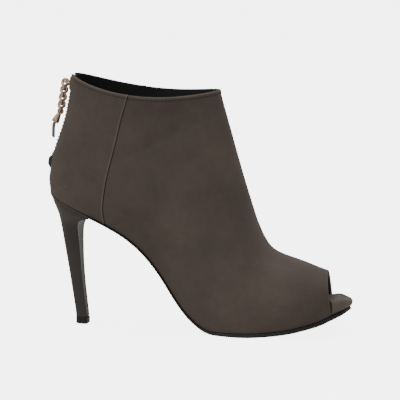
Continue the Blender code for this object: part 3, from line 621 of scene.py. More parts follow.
def leather(name, dark, light, roughness, grain=1.0, sheen=0.0, coat=0.0):
    """Fine matt leather: soft mottling, a small grain and a light nap."""
    made, tree, shader, coords = new_material(
        name, light, roughness, Sheen_Weight=sheen, Sheen_Roughness=0.45, Coat_Weight=coat
    )
    shader.inputs["Sheen Tint"].default_value = (0.85, 0.78, 0.70, 1.0)
    shader.inputs["Coat Roughness"].default_value = 0.30
    cloud = noise(tree, coords, CLOUD_SCALE, 2.0)
    mottle = noise(tree, coords, MOTTLE_SCALE, 5.0, 0.6)
    parts = [
        math_node(tree, "MULTIPLY", mottle, MOTTLE_SHARE),
        math_node(tree, "MULTIPLY", cloud, 1 - MOTTLE_SHARE),
    ]
    both = math_node(tree, "ADD", *parts)
    middle = tuple((a + b) / 2 for a, b in zip(dark, light))
    colour = ramp(tree, both, [(0.32, dark), (0.5, middle), (0.68, light)])
    tree.links.new(toned(tree, colour), shader.inputs["Base Color"])
    gloss = ramp(tree, mottle, [(0.3, (roughness - 0.05,) * 3), (0.7, (roughness + 0.07,) * 3)])
    tree.links.new(gloss, shader.inputs["Roughness"])
    cells = add_node(tree, "ShaderNodeTexVoronoi", Scale=PORE_SCALE)
    tree.links.new(coords, cells.inputs["Vector"])
    add_bump(tree, shader, cells.outputs["Distance"], PORE_DEPTH * grain, 0.5)
    for bump in LEATHER_BUMPS:
        height = noise(tree, coords, bump.scale, 3.0)
        add_bump(tree, shader, height, bump.depth * grain, bump.strength)
    return made


def metal(name, colour, roughness, worn):
    """Plated metal with small dents and rubbed patches."""
    made, tree, shader, coords = new_material(name, colour, roughness, 1.0)
    patches = noise(tree, coords, 600.0, 3.0)
    tint = ramp(tree, patches, [(0.35, colour), (0.7, worn)])
    tree.links.new(tint, shader.inputs["Base Color"])
    gloss = ramp(tree, patches, [(0.3, (roughness,) * 3), (0.7, (roughness + 0.15,) * 3)])
    tree.links.new(gloss, shader.inputs["Roughness"])
    add_bump(tree, shader, noise(tree, coords, 900.0, 2.0), 0.00010, 0.5)
    return made


def polymer(name, colour, roughness, coat=0.0):
    """Smooth moulded rubber or painted edge with faint scuffs."""
    made, tree, shader, coords = new_material(name, colour, roughness, Coat_Weight=coat)
    shader.inputs["Coat Roughness"].default_value = 0.25
    scuffs = noise(tree, coords, 700.0, 4.0, 0.7)
    lighter = tuple(1.7 * part for part in colour)
    tint = ramp(tree, scuffs, [(0.45, colour), (0.75, lighter)])
    tree.links.new(toned(tree, tint), shader.inputs["Base Color"])
    add_bump(tree, shader, scuffs, 0.00005, 0.5)
    return made


def woven(name, colour, pitch):
    """Close herringbone-like weave for the zip tape."""
    made, tree, shader, coords = new_material(name, colour, 0.9)
    waves = []
    for direction in ("Y", "Z"):
        node = add_node(tree, "ShaderNodeTexWave", Scale=0.05 / pitch, Distortion=0.4)
        node.bands_direction = direction
        tree.links.new(coords, node.inputs["Vector"])
        waves.append(node.outputs["Fac"])
    crossed = math_node(tree, "MULTIPLY", waves[0], waves[1])
    lighter = tuple(2.2 * part for part in colour)
    tree.links.new(ramp(tree, crossed, [(0.1, colour), (0.9, lighter)]), shader.inputs["Base Color"])
    add_bump(tree, shader, crossed, 0.00012, 0.8)
    return made


def add_piece(name, points, faces, materials, body="boot", picks=None, sharp=50, tone=None):
    """One named mesh that rides on a body. picks gives each face's material."""
    mesh = bpy.data.meshes.new(name)
    mesh.from_pydata([tuple(point) for point in points], [], faces)
    for material in materials:
        mesh.materials.append(material)
    if picks is not None:
        mesh.polygons.foreach_set("material_index", picks)
    if tone is not None:
        mesh.attributes.new("tone", "FLOAT", "POINT").data.foreach_set("value", tone)
    shape = bmesh.new()
    shape.from_mesh(mesh)
    bmesh.ops.recalc_face_normals(shape, faces=shape.faces)
    shape.to_mesh(mesh)
    shape.free()
    made = bpy.data.objects.new(name, mesh)
    bpy.context.scene.collection.objects.link(made)
    mesh.polygons.foreach_set("use_smooth", [True] * len(mesh.polygons))
    mesh.set_sharp_from_angle(angle=np.radians(sharp))
    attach(made, body)
    return made


def ring_faces(count, size, closed=False, start=0):
    """Quads between rings of equal size, and a flat face at each end unless they close up."""
    faces = []
    for level in range(count if closed else count - 1):
        low = start + size * level
        high = start + size * ((level + 1) % count)
        for k in range(size):
            after = (k + 1) % size
            faces.append([low + k, low + after, high + after, high + k])
    if not closed:
        faces.append([start + k for k in range(size)])
        faces.append([start + size * (count - 1) + k for k in range(size)])
    return faces


def tube(path, outward, radius, sides, closed=False):
    """Rings of a round bar along a path, turned to keep one side facing outward."""
    path = np.asarray(path, float)
    if closed:
        tangent = np.roll(path, -1, axis=0) - np.roll(path, 1, axis=0)
    else:
        tangent = np.gradient(path, axis=0)
    tangent = unit(tangent)
    side = unit(outward - np.sum(outward * tangent, axis=1, keepdims=True) * tangent)
    other = np.cross(tangent, side)
    angles = np.arange(sides)[None, :, None] * 2 * np.pi / sides
    turned = np.cos(angles) * side[:, None] + np.sin(angles) * other[:, None]
    radii = np.broadcast_to(radius, len(path))[:, None, None]
    return path[:, None] + radii * turned


class Shells:
    """Gathers several closed shells into one mesh."""

    def __init__(self):
        """Starts with no points and no faces."""
        self.points = []
        self.faces = []

    def add(self, rings, closed=False):
        """Adds one shell, given as rings of points of equal size."""
        rings = np.asarray(rings)
        start = len(self.points)
        self.points += list(rings.reshape(-1, 3))
        self.faces += ring_faces(len(rings), rings.shape[1], closed, start)

    def piece(self, name, material, body="boot", sharp=50):
        """Named piece of the shells gathered so far."""
        return add_piece(name, self.points, self.faces, [material], body, sharp=sharp)


# Upper
def seam_offset(x, z):
    """Signed distance in side view from the seam, positive towards the toe."""
    path = np.array(SEAM)[::-1]
    heights = np.linspace(path[0, 1], path[-1, 1], 200)
    places = np.interp(heights, path[:, 1], path[:, 0])
    padded = np.pad(places, SEAM_EASE, mode="reflect", reflect_type="odd")
    window = np.ones(2 * SEAM_EASE + 1) / (2 * SEAM_EASE + 1)
    places = np.convolve(padded, window, mode="valid")
    slope = np.gradient(places, heights)
    return (x - np.interp(z, heights, places)) / np.hypot(1, np.interp(z, heights, slope))


def crease_lift(points):
    """Soft troughs and ridges of the leather, as a lift along the normal."""
    total = np.zeros(points.shape[:-1])
    place = points[..., [0, 2]]
    for crease in CREASES:
        start = np.array([crease.x_from, crease.z_from])
        run = np.array([crease.x_to, crease.z_to]) - start
        share = np.clip((place - start) @ run / (run @ run), 0, 1)
        off = np.linalg.norm(place - start - share[..., None] * run, axis=-1)
        lift = crease.lift * bell(off, crease.half_width)
        if crease.side:
            lift = lift * (np.sign(points[..., 1]) == crease.side)
        total += lift
    return total


def pull_back(grid, trim, reach):
    """Moves the first rows of a grid in from its edge, along its columns, and gives the distance."""
    steps = np.linalg.norm(np.diff(grid, axis=0), axis=2)
    away = np.concatenate([np.zeros((1, grid.shape[1])), np.cumsum(steps, axis=0)])
    moved = grid.copy()
    near = away < reach
    wanted = np.where(near, trim + away * (reach - trim) / reach, away)
    for column in range(grid.shape[1]):
        for axis in range(3):
            moved[:, column, axis] = np.interp(
                wanted[:, column], away[:, column], grid[:, column, axis]
            )
    return moved, wanted


def upper_rows():
    """Rows of the fine mesh, closer together near the toe opening and the collar."""
    return np.r_[
        np.linspace(TOE_ROW, TOE_ROW + 0.9, 13),
        np.arange(TOE_ROW + 1, LAST_ROW - 0.99, ROW_STEP),
        np.linspace(LAST_ROW - 0.92, LAST_ROW, 20),
    ]


def marked(away, marks):
    """Lift and tone that the marks give at distances from their edge or seam."""
    fades = [bell(away - mark.middle, mark.half_width) for mark in marks]
    lift = sum(mark.lift * fade for mark, fade in zip(marks, fades))
    tone = sum(mark.tone * fade for mark, fade in zip(marks, fades))
    return lift, tone


def round_edges(outer, inner, faces, rounded):
    """Points and faces of two skins joined by half-round edges where rounded says so."""
    count = len(outer)
    used = {}
    for number, face in enumerate(faces):
        for start, end in zip(face, face[1:] + face[:1]):
            used.setdefault(frozenset((start, end)), []).append((start, end, number))
    rims = [edges[0] for edges in used.values() if len(edges) == 1]
    outwards = {}
    for start, end, number in rims:
        along = outer[end] - outer[start]
        thick = outer[start] - inner[start]
        away = np.cross(along, thick)
        centre = outer[faces[number]].mean(axis=0)
        if away @ (outer[start] - centre) < 0:
            away = -away
        away = away / max(np.linalg.norm(away), 1e-12)
        for corner in (start, end):
            outwards[corner] = outwards.get(corner, 0) + away
    points = [*outer, *inner]
    added = {}
    for corner, away in outwards.items():
        away = away / max(np.linalg.norm(away), 1e-12)
        middle = (outer[corner] + inner[corner]) / 2
        half = (outer[corner] - inner[corner]) / 2
        reach = EDGE_ROUND if rounded[corner] else 0.0
        chain = [corner]
        for angle in EDGE_ANGLES:
            points.append(middle + np.cos(angle) * half + np.sin(angle) * reach * away)
            chain.append(len(points) - 1)
        added[corner] = [*chain, corner + count]
    strips = []
    for start, end, _ in rims:
        for k in range(len(EDGE_ANGLES) + 1):
            first, second = added[start], added[end]
            strips.append([second[k], first[k], first[k + 1], second[k + 1]])
    return points, strips


def build_upper(hide, lining):
    """Leather shell with its folded edges, creases and side seams, with painted highlights and painted
    shade in its tone.

    Gives its outer grid and each point's distance from the collar, for the stitches.
    """
    at = upper_rows()
    grid = skin(at, SIDE_COLUMNS)
    flipped, from_collar = pull_back(grid[::-1], EDGE_ROUND, EDGE_REACH)
    grid, from_collar = flipped[::-1], from_collar[::-1]
    grid, from_toe = pull_back(grid, EDGE_ROUND, EDGE_REACH)
    normals = surface_normals(grid)
    inner = grid - WALL * normals
    rows = np.broadcast_to(at[:, None], grid.shape[:2])
    places = np.minimum(np.arange(grid.shape[1]), np.arange(grid.shape[1])[::-1])
    near_edge = np.clip(places / 6, 0, 1)[None]
    seated = np.where(rows <= HEEL_BACK_ROW, near_edge, 1.0)
    calm = np.clip(from_toe / CREASE_CALM, 0, 1) * np.clip(from_collar / CREASE_CALM, 0, 1)
    lift = crease_lift(grid) * seated * calm
    # The tone paints a highlight on the folded edges of the collar and the toe opening, and shade along
    # their crease line.
    collar_lift, collar_tone = marked(from_collar, FOLD_MARKS)
    toe_lift, toe_tone = marked(from_toe, FOLD_MARKS)
    tone = collar_tone + TOE_FOLD_SHARE * toe_tone
    # Painted highlights: soft lighter patches where the forefoot and the low quarter catch more light.
    for shade in PAINTED_LIGHT_PATCHES:
        away = np.hypot(grid[..., 0] - shade.x, grid[..., 2] - shade.z)
        tone = tone + shade.tone * bell(away, shade.reach)
    outer = grid + (lift + collar_lift + TOE_FOLD_SHARE * toe_lift)[..., None] * normals

    across = grid.shape[1]
    seat_rows = [k for k, row in enumerate(at) if row <= HEEL_BACK_ROW]
    heel_back = seat_rows[-1]
    outline = plan_outline(at[seat_rows])
    facing = inward(outline)
    for k in seat_rows:
        for column, edge in ((0, k), (across - 1, 2 * len(seat_rows) - k)):
            up = seat_up(grid[k, column, :1])[0]
            side = np.array([*facing[edge], 0.0])
            inner[k, column] = grid[k, column] + WALL * (side + up) / (1 + side @ up)
            outer[k, column] = grid[k, column]
    outer_points = list(outer.reshape(-1, 3))
    inner_points = list(inner.reshape(-1, 3))
    tones = list(tone.ravel())
    rounded = [True] * len(tones)
    faces = []
    for k in range(len(at) - 1):
        for column in range(across - 1):
            corner = k * across + column
            faces.append([corner, corner + 1, corner + across + 1, corner + across])

    def add(outside, inside):
        """Adds a pair of points, one on each face of the wall, with a square edge."""
        outer_points.append(outside)
        inner_points.append(inside)
        tones.append(0.0)
        rounded.append(False)
        return len(outer_points) - 1

    # Back centre line between the heel seat and the foot of the zip
    centre = {}
    for k in range(heel_back, len(at)):
        if at[k] <= ZIP_FOOT_ROW:
            row = max(at[k], HEEL_BACK_ROW + 0.03)
            here = back_point(row, 0.0, 0.0)
            inside = back_point(row, 0.0, -WALL)
            if k == heel_back:
                inside = here + np.array([WALL, 0, WALL])
            centre[k] = add(here, inside)
    for k in list(centre)[:-1]:
        left, right = k * across, k * across + across - 1
        faces.append([centre[k], left, left + across, centre[k + 1]])
        faces.append([right, centre[k], centre[k + 1], right + across])

    # Lasting margin turned in under the foot
    folded = outline + MARGIN * facing
    folded_points = seat_point(folded[:, 0], folded[:, 1], 0.0)
    lifted_points = seat_point(folded[:, 0], folded[:, 1], WALL)
    turned = [add(*pair) for pair in zip(folded_points, lifted_points)]
    edge = [k * across for k in seat_rows] + [centre[heel_back]]
    edge += [k * across + across - 1 for k in reversed(seat_rows)]
    for k in range(len(edge) - 1):
        faces.append([edge[k], edge[k + 1], turned[k + 1], turned[k]])

    outer_points = np.array(outer_points)
    inner_points = np.array(inner_points)
    count = len(outer_points)
    points, strips = round_edges(outer_points, inner_points, faces, rounded)
    solid = list(faces)
    solid += [[corner + count for corner in reversed(face)] for face in faces]
    picks = [0] * len(faces) + [1] * len(faces) + [0] * len(strips)
    # The rounded edges get the painted highlight.
    tones = np.array(tones + [0.0] * count + [PAINTED_EDGE_HIGHLIGHT] * (len(points) - 2 * count))
    made = add_piece("upper_leather", points, solid + strips, [hide, lining], picks=picks, tone=tones)
    cut_seams(made)
    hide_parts("upper")
    return outer, from_collar


def cut_seams(upper):
    """Refines the leather beside the side seams, shapes their lapped edge and groove, and paints shade
    into the groove and a highlight on the lapped edge.
    """
    mesh = upper.data
    shape = bmesh.new()
    shape.from_mesh(mesh)
    tones = shape.verts.layers.float["tone"]

    def seam_faces(half_width):
        """Outer faces of both sides that lie within half_width of the seam."""
        picked = []
        for face in shape.faces:
            if face.material_index == 0:
                middle = face.calc_center_median()
                on_side = abs(middle.y) > SEAM_OFF_MIDDLE and middle.z > SEAM_LOW
                if on_side and SEAM_SPAN[0] < middle.x < SEAM_SPAN[1]:
                    picked.append(face)
        if not picked:
            return []
        spots = np.array([face.calc_center_median() for face in picked])
        off = np.abs(seam_offset(spots[:, 0], spots[:, 2]))
        return [face for face, distance in zip(picked, off) if distance < half_width]

    for half_width in SEAM_REFINED:
        edges = {edge for face in seam_faces(half_width) for edge in face.edges}
        bmesh.ops.subdivide_edges(shape, edges=list(edges), cuts=1, use_grid_fill=True)
    shape.normal_update()
    verts = {vert for face in seam_faces(SEAM_REACH) for vert in face.verts}
    verts = sorted(verts, key=lambda vert: vert.index)
    spots = np.array([vert.co for vert in verts])
    off = seam_offset(spots[:, 0], spots[:, 2])
    # Painted shade in the seam's groove and a painted highlight on its lapped lip, through the tone.
    rise, tone = marked(off, SEAM_MARKS)
    rise = rise + SEAM_LIP.lift * np.where(off < 0, np.exp(off / SEAM_LAP), 0.0)
    lip_fade = bell(off - SEAM_LIP.middle, SEAM_LIP.half_width)
    tone = tone + SEAM_LIP.tone * np.where(off < 0, lip_fade, 0.0)
    for vert, lift, shade in zip(verts, rise, tone):
        if any(face.material_index == 1 for face in vert.link_faces):
            continue
        vert.co += vert.normal * float(lift)
        vert[tones] += float(shade)
    shape.to_mesh(mesh)
    shape.free()
    mesh.polygons.foreach_set("use_smooth", [True] * len(mesh.polygons))


def build_stitches(outer, from_collar, thread):
    """Row of short threads along the collar, one fold's height below its edge."""
    grid = outer[::-1]
    away = from_collar[::-1]
    columns = range(2, grid.shape[1] - 2)
    path = np.array(
        [
            [np.interp(FOLD_HEIGHT, away[:, column], grid[:, column, axis]) for axis in range(3)]
            for column in columns
        ]
    )
    along = run_along(path)
    middle = grid[:60].mean(axis=(0, 1))
    shells = Shells()
    for start in np.arange(STITCH_PITCH, along[-1] - STITCH_PITCH, STITCH_PITCH):
        share = np.linspace(start, start + STITCH_LENGTH, len(STITCH_BOW))
        spots = np.stack([np.interp(share, along, axis) for axis in path.T], axis=1)
        out = spots - middle
        out[:, 2] *= 0.2
        out = unit(out)
        bow = np.array(STITCH_BOW)[:, None] * STITCH_RADIUS
        radius = STITCH_RADIUS * np.array(STITCH_TAPER)
        shells.add(tube(spots + bow * out, out, radius, 6))
    made = shells.piece("collar_stitches", thread)


# Sole, platform, insole
def bottom_points(at, rows, shape, turns):
    """Rings and faces of a solid under or in the upper, in the plan of the sole between two rows.

    Shape gives the inset, lift and forward shift of each turn's ring from the rows and sides.
    """
    outline = plan_outline(at)
    facing = inward(outline)
    count = len(at)
    picked = [k for k in range(count) if rows[0] <= at[k] <= rows[1]]
    loop = picked + [count] * (rows[1] >= HEEL_BACK_ROW)
    loop += [2 * count - k for k in reversed(picked)]
    loop_rows = np.array([at[k] if k < count else at[min(2 * count - k, count - 1)] for k in loop])
    sides = np.array([-1 if k <= count else 1 for k in loop])
    size = len(loop)
    rings = []
    for turn in turns:
        inset, lift, forward = shape(turn, loop_rows, sides)
        flat = outline[loop] + facing[loop] * np.broadcast_to(inset, size)[:, None]
        ring = seat_point(flat[:, 0], flat[:, 1], np.broadcast_to(lift, size))
        ring[:, 0] += forward
        rings.append(ring)
    faces = ring_faces(len(rings), size)[: size * (len(rings) - 1)]
    pairs = len(picked)
    for base in (0, size * (len(rings) - 1)):
        for k in range(pairs - 1):
            far = size - 1 - k
            faces.append([base + k, base + k + 1, base + far - 1, base + far])
        if size > 2 * pairs:
            faces.append([base + pairs - 1, base + pairs, base + pairs + 1])
    return rings, faces


def build_outsole(rubber):
    """Thin sole with a rounded, polished edge and a painted highlight along its groove."""
    at = np.arange(0, BREAST_ROW + 0.01, ROW_STEP)

    def shape(turn, rows, sides):
        """Ring of a turn: the sole thins towards its waist and its tip."""
        thick = np.interp(rows, [BALL_ROW, WAIST_ROW], [SOLE_FRONT, SOLE_WAIST])
        thick = thick * np.interp(rows, [0, TOE_ROW], [SOLE_TIP_SHARE, 1])
        out = np.interp(rows, [0, TOE_ROW], [-SOLE_TIP_INSET, SOLE_LEDGE])
        inset = np.where(turn.inset < 0, turn.inset * out, turn.inset * SOLE_LEDGE)
        return inset, -GAP - turn.depth * thick, 0.0

    rings, faces = bottom_points(at, (0, BREAST_ROW), shape, SOLE_EDGE)
    points = np.concatenate(rings)
    points[:, 2] = np.maximum(points[:, 2], 0.0)
    # The tone paints the highlight line along the groove of the sole's edge.
    tone = np.repeat([turn.tone for turn in SOLE_EDGE], len(rings[0]))
    made = add_piece("outsole_edge", points, faces, [rubber], sharp=60, tone=tone)
    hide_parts("outsole")


def platform_top(rows):
    """Height of the platform's upper face over the seat: the rim, then the bed behind it."""
    places = [0, RIM_END_ROW, RIM_SEAT_ROW, TOE_ROW + 3, BALL_ROW, WAIST_ROW]
    bed = [PLATFORM_TOE, 0.9 * PLATFORM_TOP, PLATFORM_TOP, WALL + 4 * GAP]
    return np.interp(rows, places, [RIM_FRONT, RIM_BACK, *bed])


def nose(rows):
    """One on the rim, in front of the upper, and zero inside the upper."""
    return np.clip((RIM_SEAT_ROW - rows) / (RIM_SEAT_ROW - RIM_END_ROW), 0, 1)


def toe_lean(rows, lift):
    """How far forward a height over the seat stands at the toe, where the last leans less."""
    return RIM_LEAN * lift * np.clip(TOE_ROW + 1 - rows, 0, 1)


def ease_tip(ring, at, amount):
    """Evens out a ring near the toe's tip, so that a deep inset doesn't fold over."""
    near = np.clip(1 - at[at <= TIP_EASE_ROW] / TIP_EASE_ROW, 0, 1) * amount
    weight = np.zeros(len(ring))
    weight[: len(near)] = near
    weight[::-1][: len(near)] = near
    for _ in range(TIP_EASE_TURNS):
        even = (np.roll(ring, 1, axis=0) + 2 * ring + np.roll(ring, -1, axis=0)) / 4
        ring = ring + weight[:, None] * (even - ring)
    return ring


def build_platform(hide):
    """Leather-wrapped block whose edge is the rim of the open toe."""
    at = np.arange(0, WAIST_ROW + 0.01, ROW_STEP)
    at = np.sort(np.append(at[at != TOE_ROW], [RIM_END_ROW, RIM_SEAT_ROW]))

    def shape(turn, rows, sides):
        """Ring of a turn: drawn in on the rim, and clear of the upper's wall behind it."""
        rim = nose(rows)
        bottom = (WALL + GAP) * (1 - rim)
        lift = bottom + turn.rise * (platform_top(rows) - bottom)
        inset = (1.5 * WALL + GAP) * (1 - rim) + turn.inset * rim - bulge(rows, sides, lift)
        return inset, lift, toe_lean(rows, lift)

    turns = []
    for angle in np.linspace(-np.pi / 2, np.pi / 2, 19):
        depth = RIM_FOOT_ROUND if angle < 0 else RIM_TOP_ROUND
        up = RIM_BELLY + np.sin(angle) * (RIM_BELLY if angle < 0 else 1 - RIM_BELLY)
        turns.append(RimTurn(up, depth * (1 - np.cos(angle) ** 0.75)))
    rings, faces = bottom_points(at, (0, WAIST_ROW), shape, turns)
    rings = [ease_tip(ring, at, turn.inset / RIM_TOP_ROUND) for ring, turn in zip(rings, turns)]
    made = add_piece("platform_wrap", np.concatenate(rings), faces, [hide], sharp=60)
    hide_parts("platform")


def build_insole(lining):
    """Sock of the insole with a soft bound edge."""
    at = np.arange(0, HEEL_BACK_ROW + 0.01, ROW_STEP)

    def shape(turn, rows, sides):
        """Ring of a turn, clear of the upper's wall."""
        base = np.where(rows <= WAIST_ROW, platform_top(rows) + GAP, WALL + GAP)
        lift = base + turn.rise * INSOLE * np.interp(rows, [INSOLE_ROW, TOE_ROW + 1], [0.5, 1])
        heel_room = WALL * np.clip(rows - BREAST_ROW - 1, 0, 1)
        inset = 1.5 * WALL + GAP - bulge(rows, sides, lift) + heel_room
        return inset + turn.inset, lift, toe_lean(rows, lift)

    rings, faces = bottom_points(at, (INSOLE_ROW, HEEL_BACK_ROW), shape, INSOLE_EDGE)
    made = add_piece("insole_sock", np.concatenate(rings), faces, [lining], sharp=60)
    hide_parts("insole")


# Heel
def build_heel(hide, breast, rubber):
    """Covered heel with its piping in painted highlight and shade, its breast painted pale as a painted
    reflection of the floor, and the rubber tip under it.
    """
    at = np.arange(BREAST_ROW, HEEL_BACK_ROW + 0.01, ROW_STEP)
    outline = plan_outline(at)
    outline[[0, -1], 0] -= GAP
    facing = inward(outline)
    back_x, front_x = outline[:, 0].min(), outline[:, 0].max()
    half = np.abs(outline[:, 1]).max()
    shape_x = (outline[:, 0] - back_x) / (front_x - back_x)
    shape_y = outline[:, 1] / half
    middle = len(at)
    steps = run_along(outline)
    whole = np.where(steps < steps[middle], steps[middle], steps[-1] - steps[middle])
    turned = np.abs(steps - steps[middle]) / whole * HEEL_ROUND
    round_x = (1 - np.cos(turned)) / (1 - np.cos(HEEL_ROUND))
    round_y = np.sign(outline[:, 1]) * np.sin(turned)

    def cut(back, front, half_width, share):
        """Ring from back to front (x and z), blended from round to the seat's outline."""
        across = share * shape_x + (1 - share) * round_x
        y = (share * shape_y + (1 - share) * round_y) * half_width
        x = back[0] + across * (front[0] - back[0])
        z = back[1] + across * (front[1] - back[1])
        return np.stack([x, y, z], axis=1)

    def with_breast(ring, hollow):
        """Adds the columns of the breast, slightly hollow, between the ring's two front ends."""
        share = np.linspace(0, 1, BREAST_COLUMNS + 2)[1:-1, None]
        front = ring[-1] + share * (ring[0] - ring[-1])
        depth = hollow * 4 * share[:, 0] * (1 - share[:, 0])
        front[:, 0] -= depth * np.linalg.norm(ring[0] - ring[-1])
        return np.concatenate([ring, front])

    def ring_tone(height, side_tone):
        """Tone round a ring: dark at the breast's two edges, lighter up the breast."""
        side = np.full(len(outline), side_tone)
        side[[0, -1]] = BREAST_EDGE_TONE
        front = np.interp(height, BREAST_TONE_HEIGHTS, BREAST_TONES)
        return np.concatenate([side, np.full(BREAST_COLUMNS, front)])

    breast_x = section_sizes([BREAST_ROW]).sole_x[0]
    rows = np.linspace(0, len(HEEL_CUTS) - 1, 91)
    rings = []
    tones = []
    for row in spline(np.array(HEEL_CUTS), rows):
        size = HeelCut(*row)
        back = (size.back_x * BACK_X, size.back_z * HEEL_HEIGHT)
        front = (size.front_x * breast_x, size.front_z * HEEL_HEIGHT)
        share = np.clip(size.seat_share, 0, 1)
        ring = cut(back, front, size.half_width * BALL_WIDTH, share)
        rings.append(with_breast(ring, BREAST_HOLLOW * (1 - share)))
        tones.append(ring_tone(size.back_z, 0.0))
    last_cut = ring
    seat_ring = seat_point(outline[:, 0], outline[:, 1], -GAP)
    seat_ring[:, 0] = outline[:, 0]
    # Piping rings: a painted highlight on the piping and painted shade in the groove above it.
    for turn in HEEL_PIPING:
        ring = last_cut + turn.rise * (seat_ring - last_cut)
        ring[:, :2] += turn.inset * facing
        rings.append(with_breast(ring, 0.0))
        tones.append(ring_tone(1.0, turn.tone))
    size = len(rings[0])
    points = np.concatenate(rings)
    faces = ring_faces(len(rings), size)
    side_columns = len(outline)
    picks = [int(k % size >= side_columns - 1) for k in range(size * (len(rings) - 1))] + [0, 0]
    made = add_piece(
        "heel_cover", points, faces, [hide, breast], picks=picks, sharp=42, tone=np.concatenate(tones)
    )
    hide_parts("heel")

    tip = []
    for z, cutback in TIP_EDGE:
        ring = cut((-TIP_HALF + cutback, z), (TIP_HALF - cutback, z), TIP_HALF - cutback, 0.0)
        tip.append(with_breast(ring, 0.0))
    faces = ring_faces(len(tip), len(tip[0]))
    made = add_piece("heel_top_piece", np.concatenate(tip), faces, [rubber], sharp=42)
    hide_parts("heel_tip")


# Zip: ridges of its tape, tapers as places and widths, and the teeth
TAPE_RIDGE = 0.0001
GUARD_TAPER = ((0, 0.05, 0.5, 1), (0.35, 0.55, 0.84, 1.0))
SLIDER_TAPER = ((0, 0.21, 0.79, 1), (0.58, 0.95, 1.0, 0.74))
TOOTH = 0.00145
TOOTH_PITCH = 0.92
TOOTH_HALF = 0.42
TOOTH_DEPTH = 0.00085
TOOTH_SUNK = 0.00040
ToothTurn = namedtuple("ToothTurn", "across thick deep")
TOOTH_TURNS = (
    ToothTurn(-0.0009, 0.55, 0.55),
    ToothTurn(-0.0006, 0.8, 0.8),
    ToothTurn(0.0002, 0.95, 0.95),
    ToothTurn(0.0007, 0.8, 0.9),
    ToothTurn(0.0012, 0.9, 0.95),
    ToothTurn(0.0022, 1.0, 1.0),
    ToothTurn(0.0026, 0.9, 0.85),
)


def band_rings(stations, columns):
    """Rings of a band on the boot's back: height, half width, inside and outside offsets."""
    places = np.linspace(-1, 1, columns)
    rings = []
    for z, half_width, inside, outside in stations:
        row = back_row(z)
        far = outside(places) if callable(outside) else np.full(columns, outside)
        near_points = [back_point(row, share * half_width, inside) for share in places]
        far_points = [
            back_point(row, share * half_width, reach) for share, reach in zip(places, far)
        ]
        rings.append(np.array(near_points + far_points[::-1]))
    return np.array(rings)


def add_band(name, stations, columns, material):
    """Named piece made of one band."""
    shells = Shells()
    shells.add(band_rings(stations, columns))
    return shells.piece(name, material, sharp=60)


def tooth_rings(base, out, side):
    """Rings of one tooth, from its head over the middle to the tape on its own side."""
    up = np.cross(SIDEWAYS, out)
    rings = []
    for turn in TOOTH_TURNS:
        ring = []
        for angle in np.arange(12) * 2 * np.pi / 12:
            square = max(abs(np.cos(angle)), abs(np.sin(angle))) ** 0.6
            rise = np.cos(angle) / square * TOOTH_HALF * TOOTH * turn.thick
            depth = np.sin(angle) / square * TOOTH_DEPTH * turn.deep - TOOTH_SUNK
            ring.append(base + side * turn.across * SIDEWAYS + rise * up + depth * out)
        rings.append(ring)
    return rings


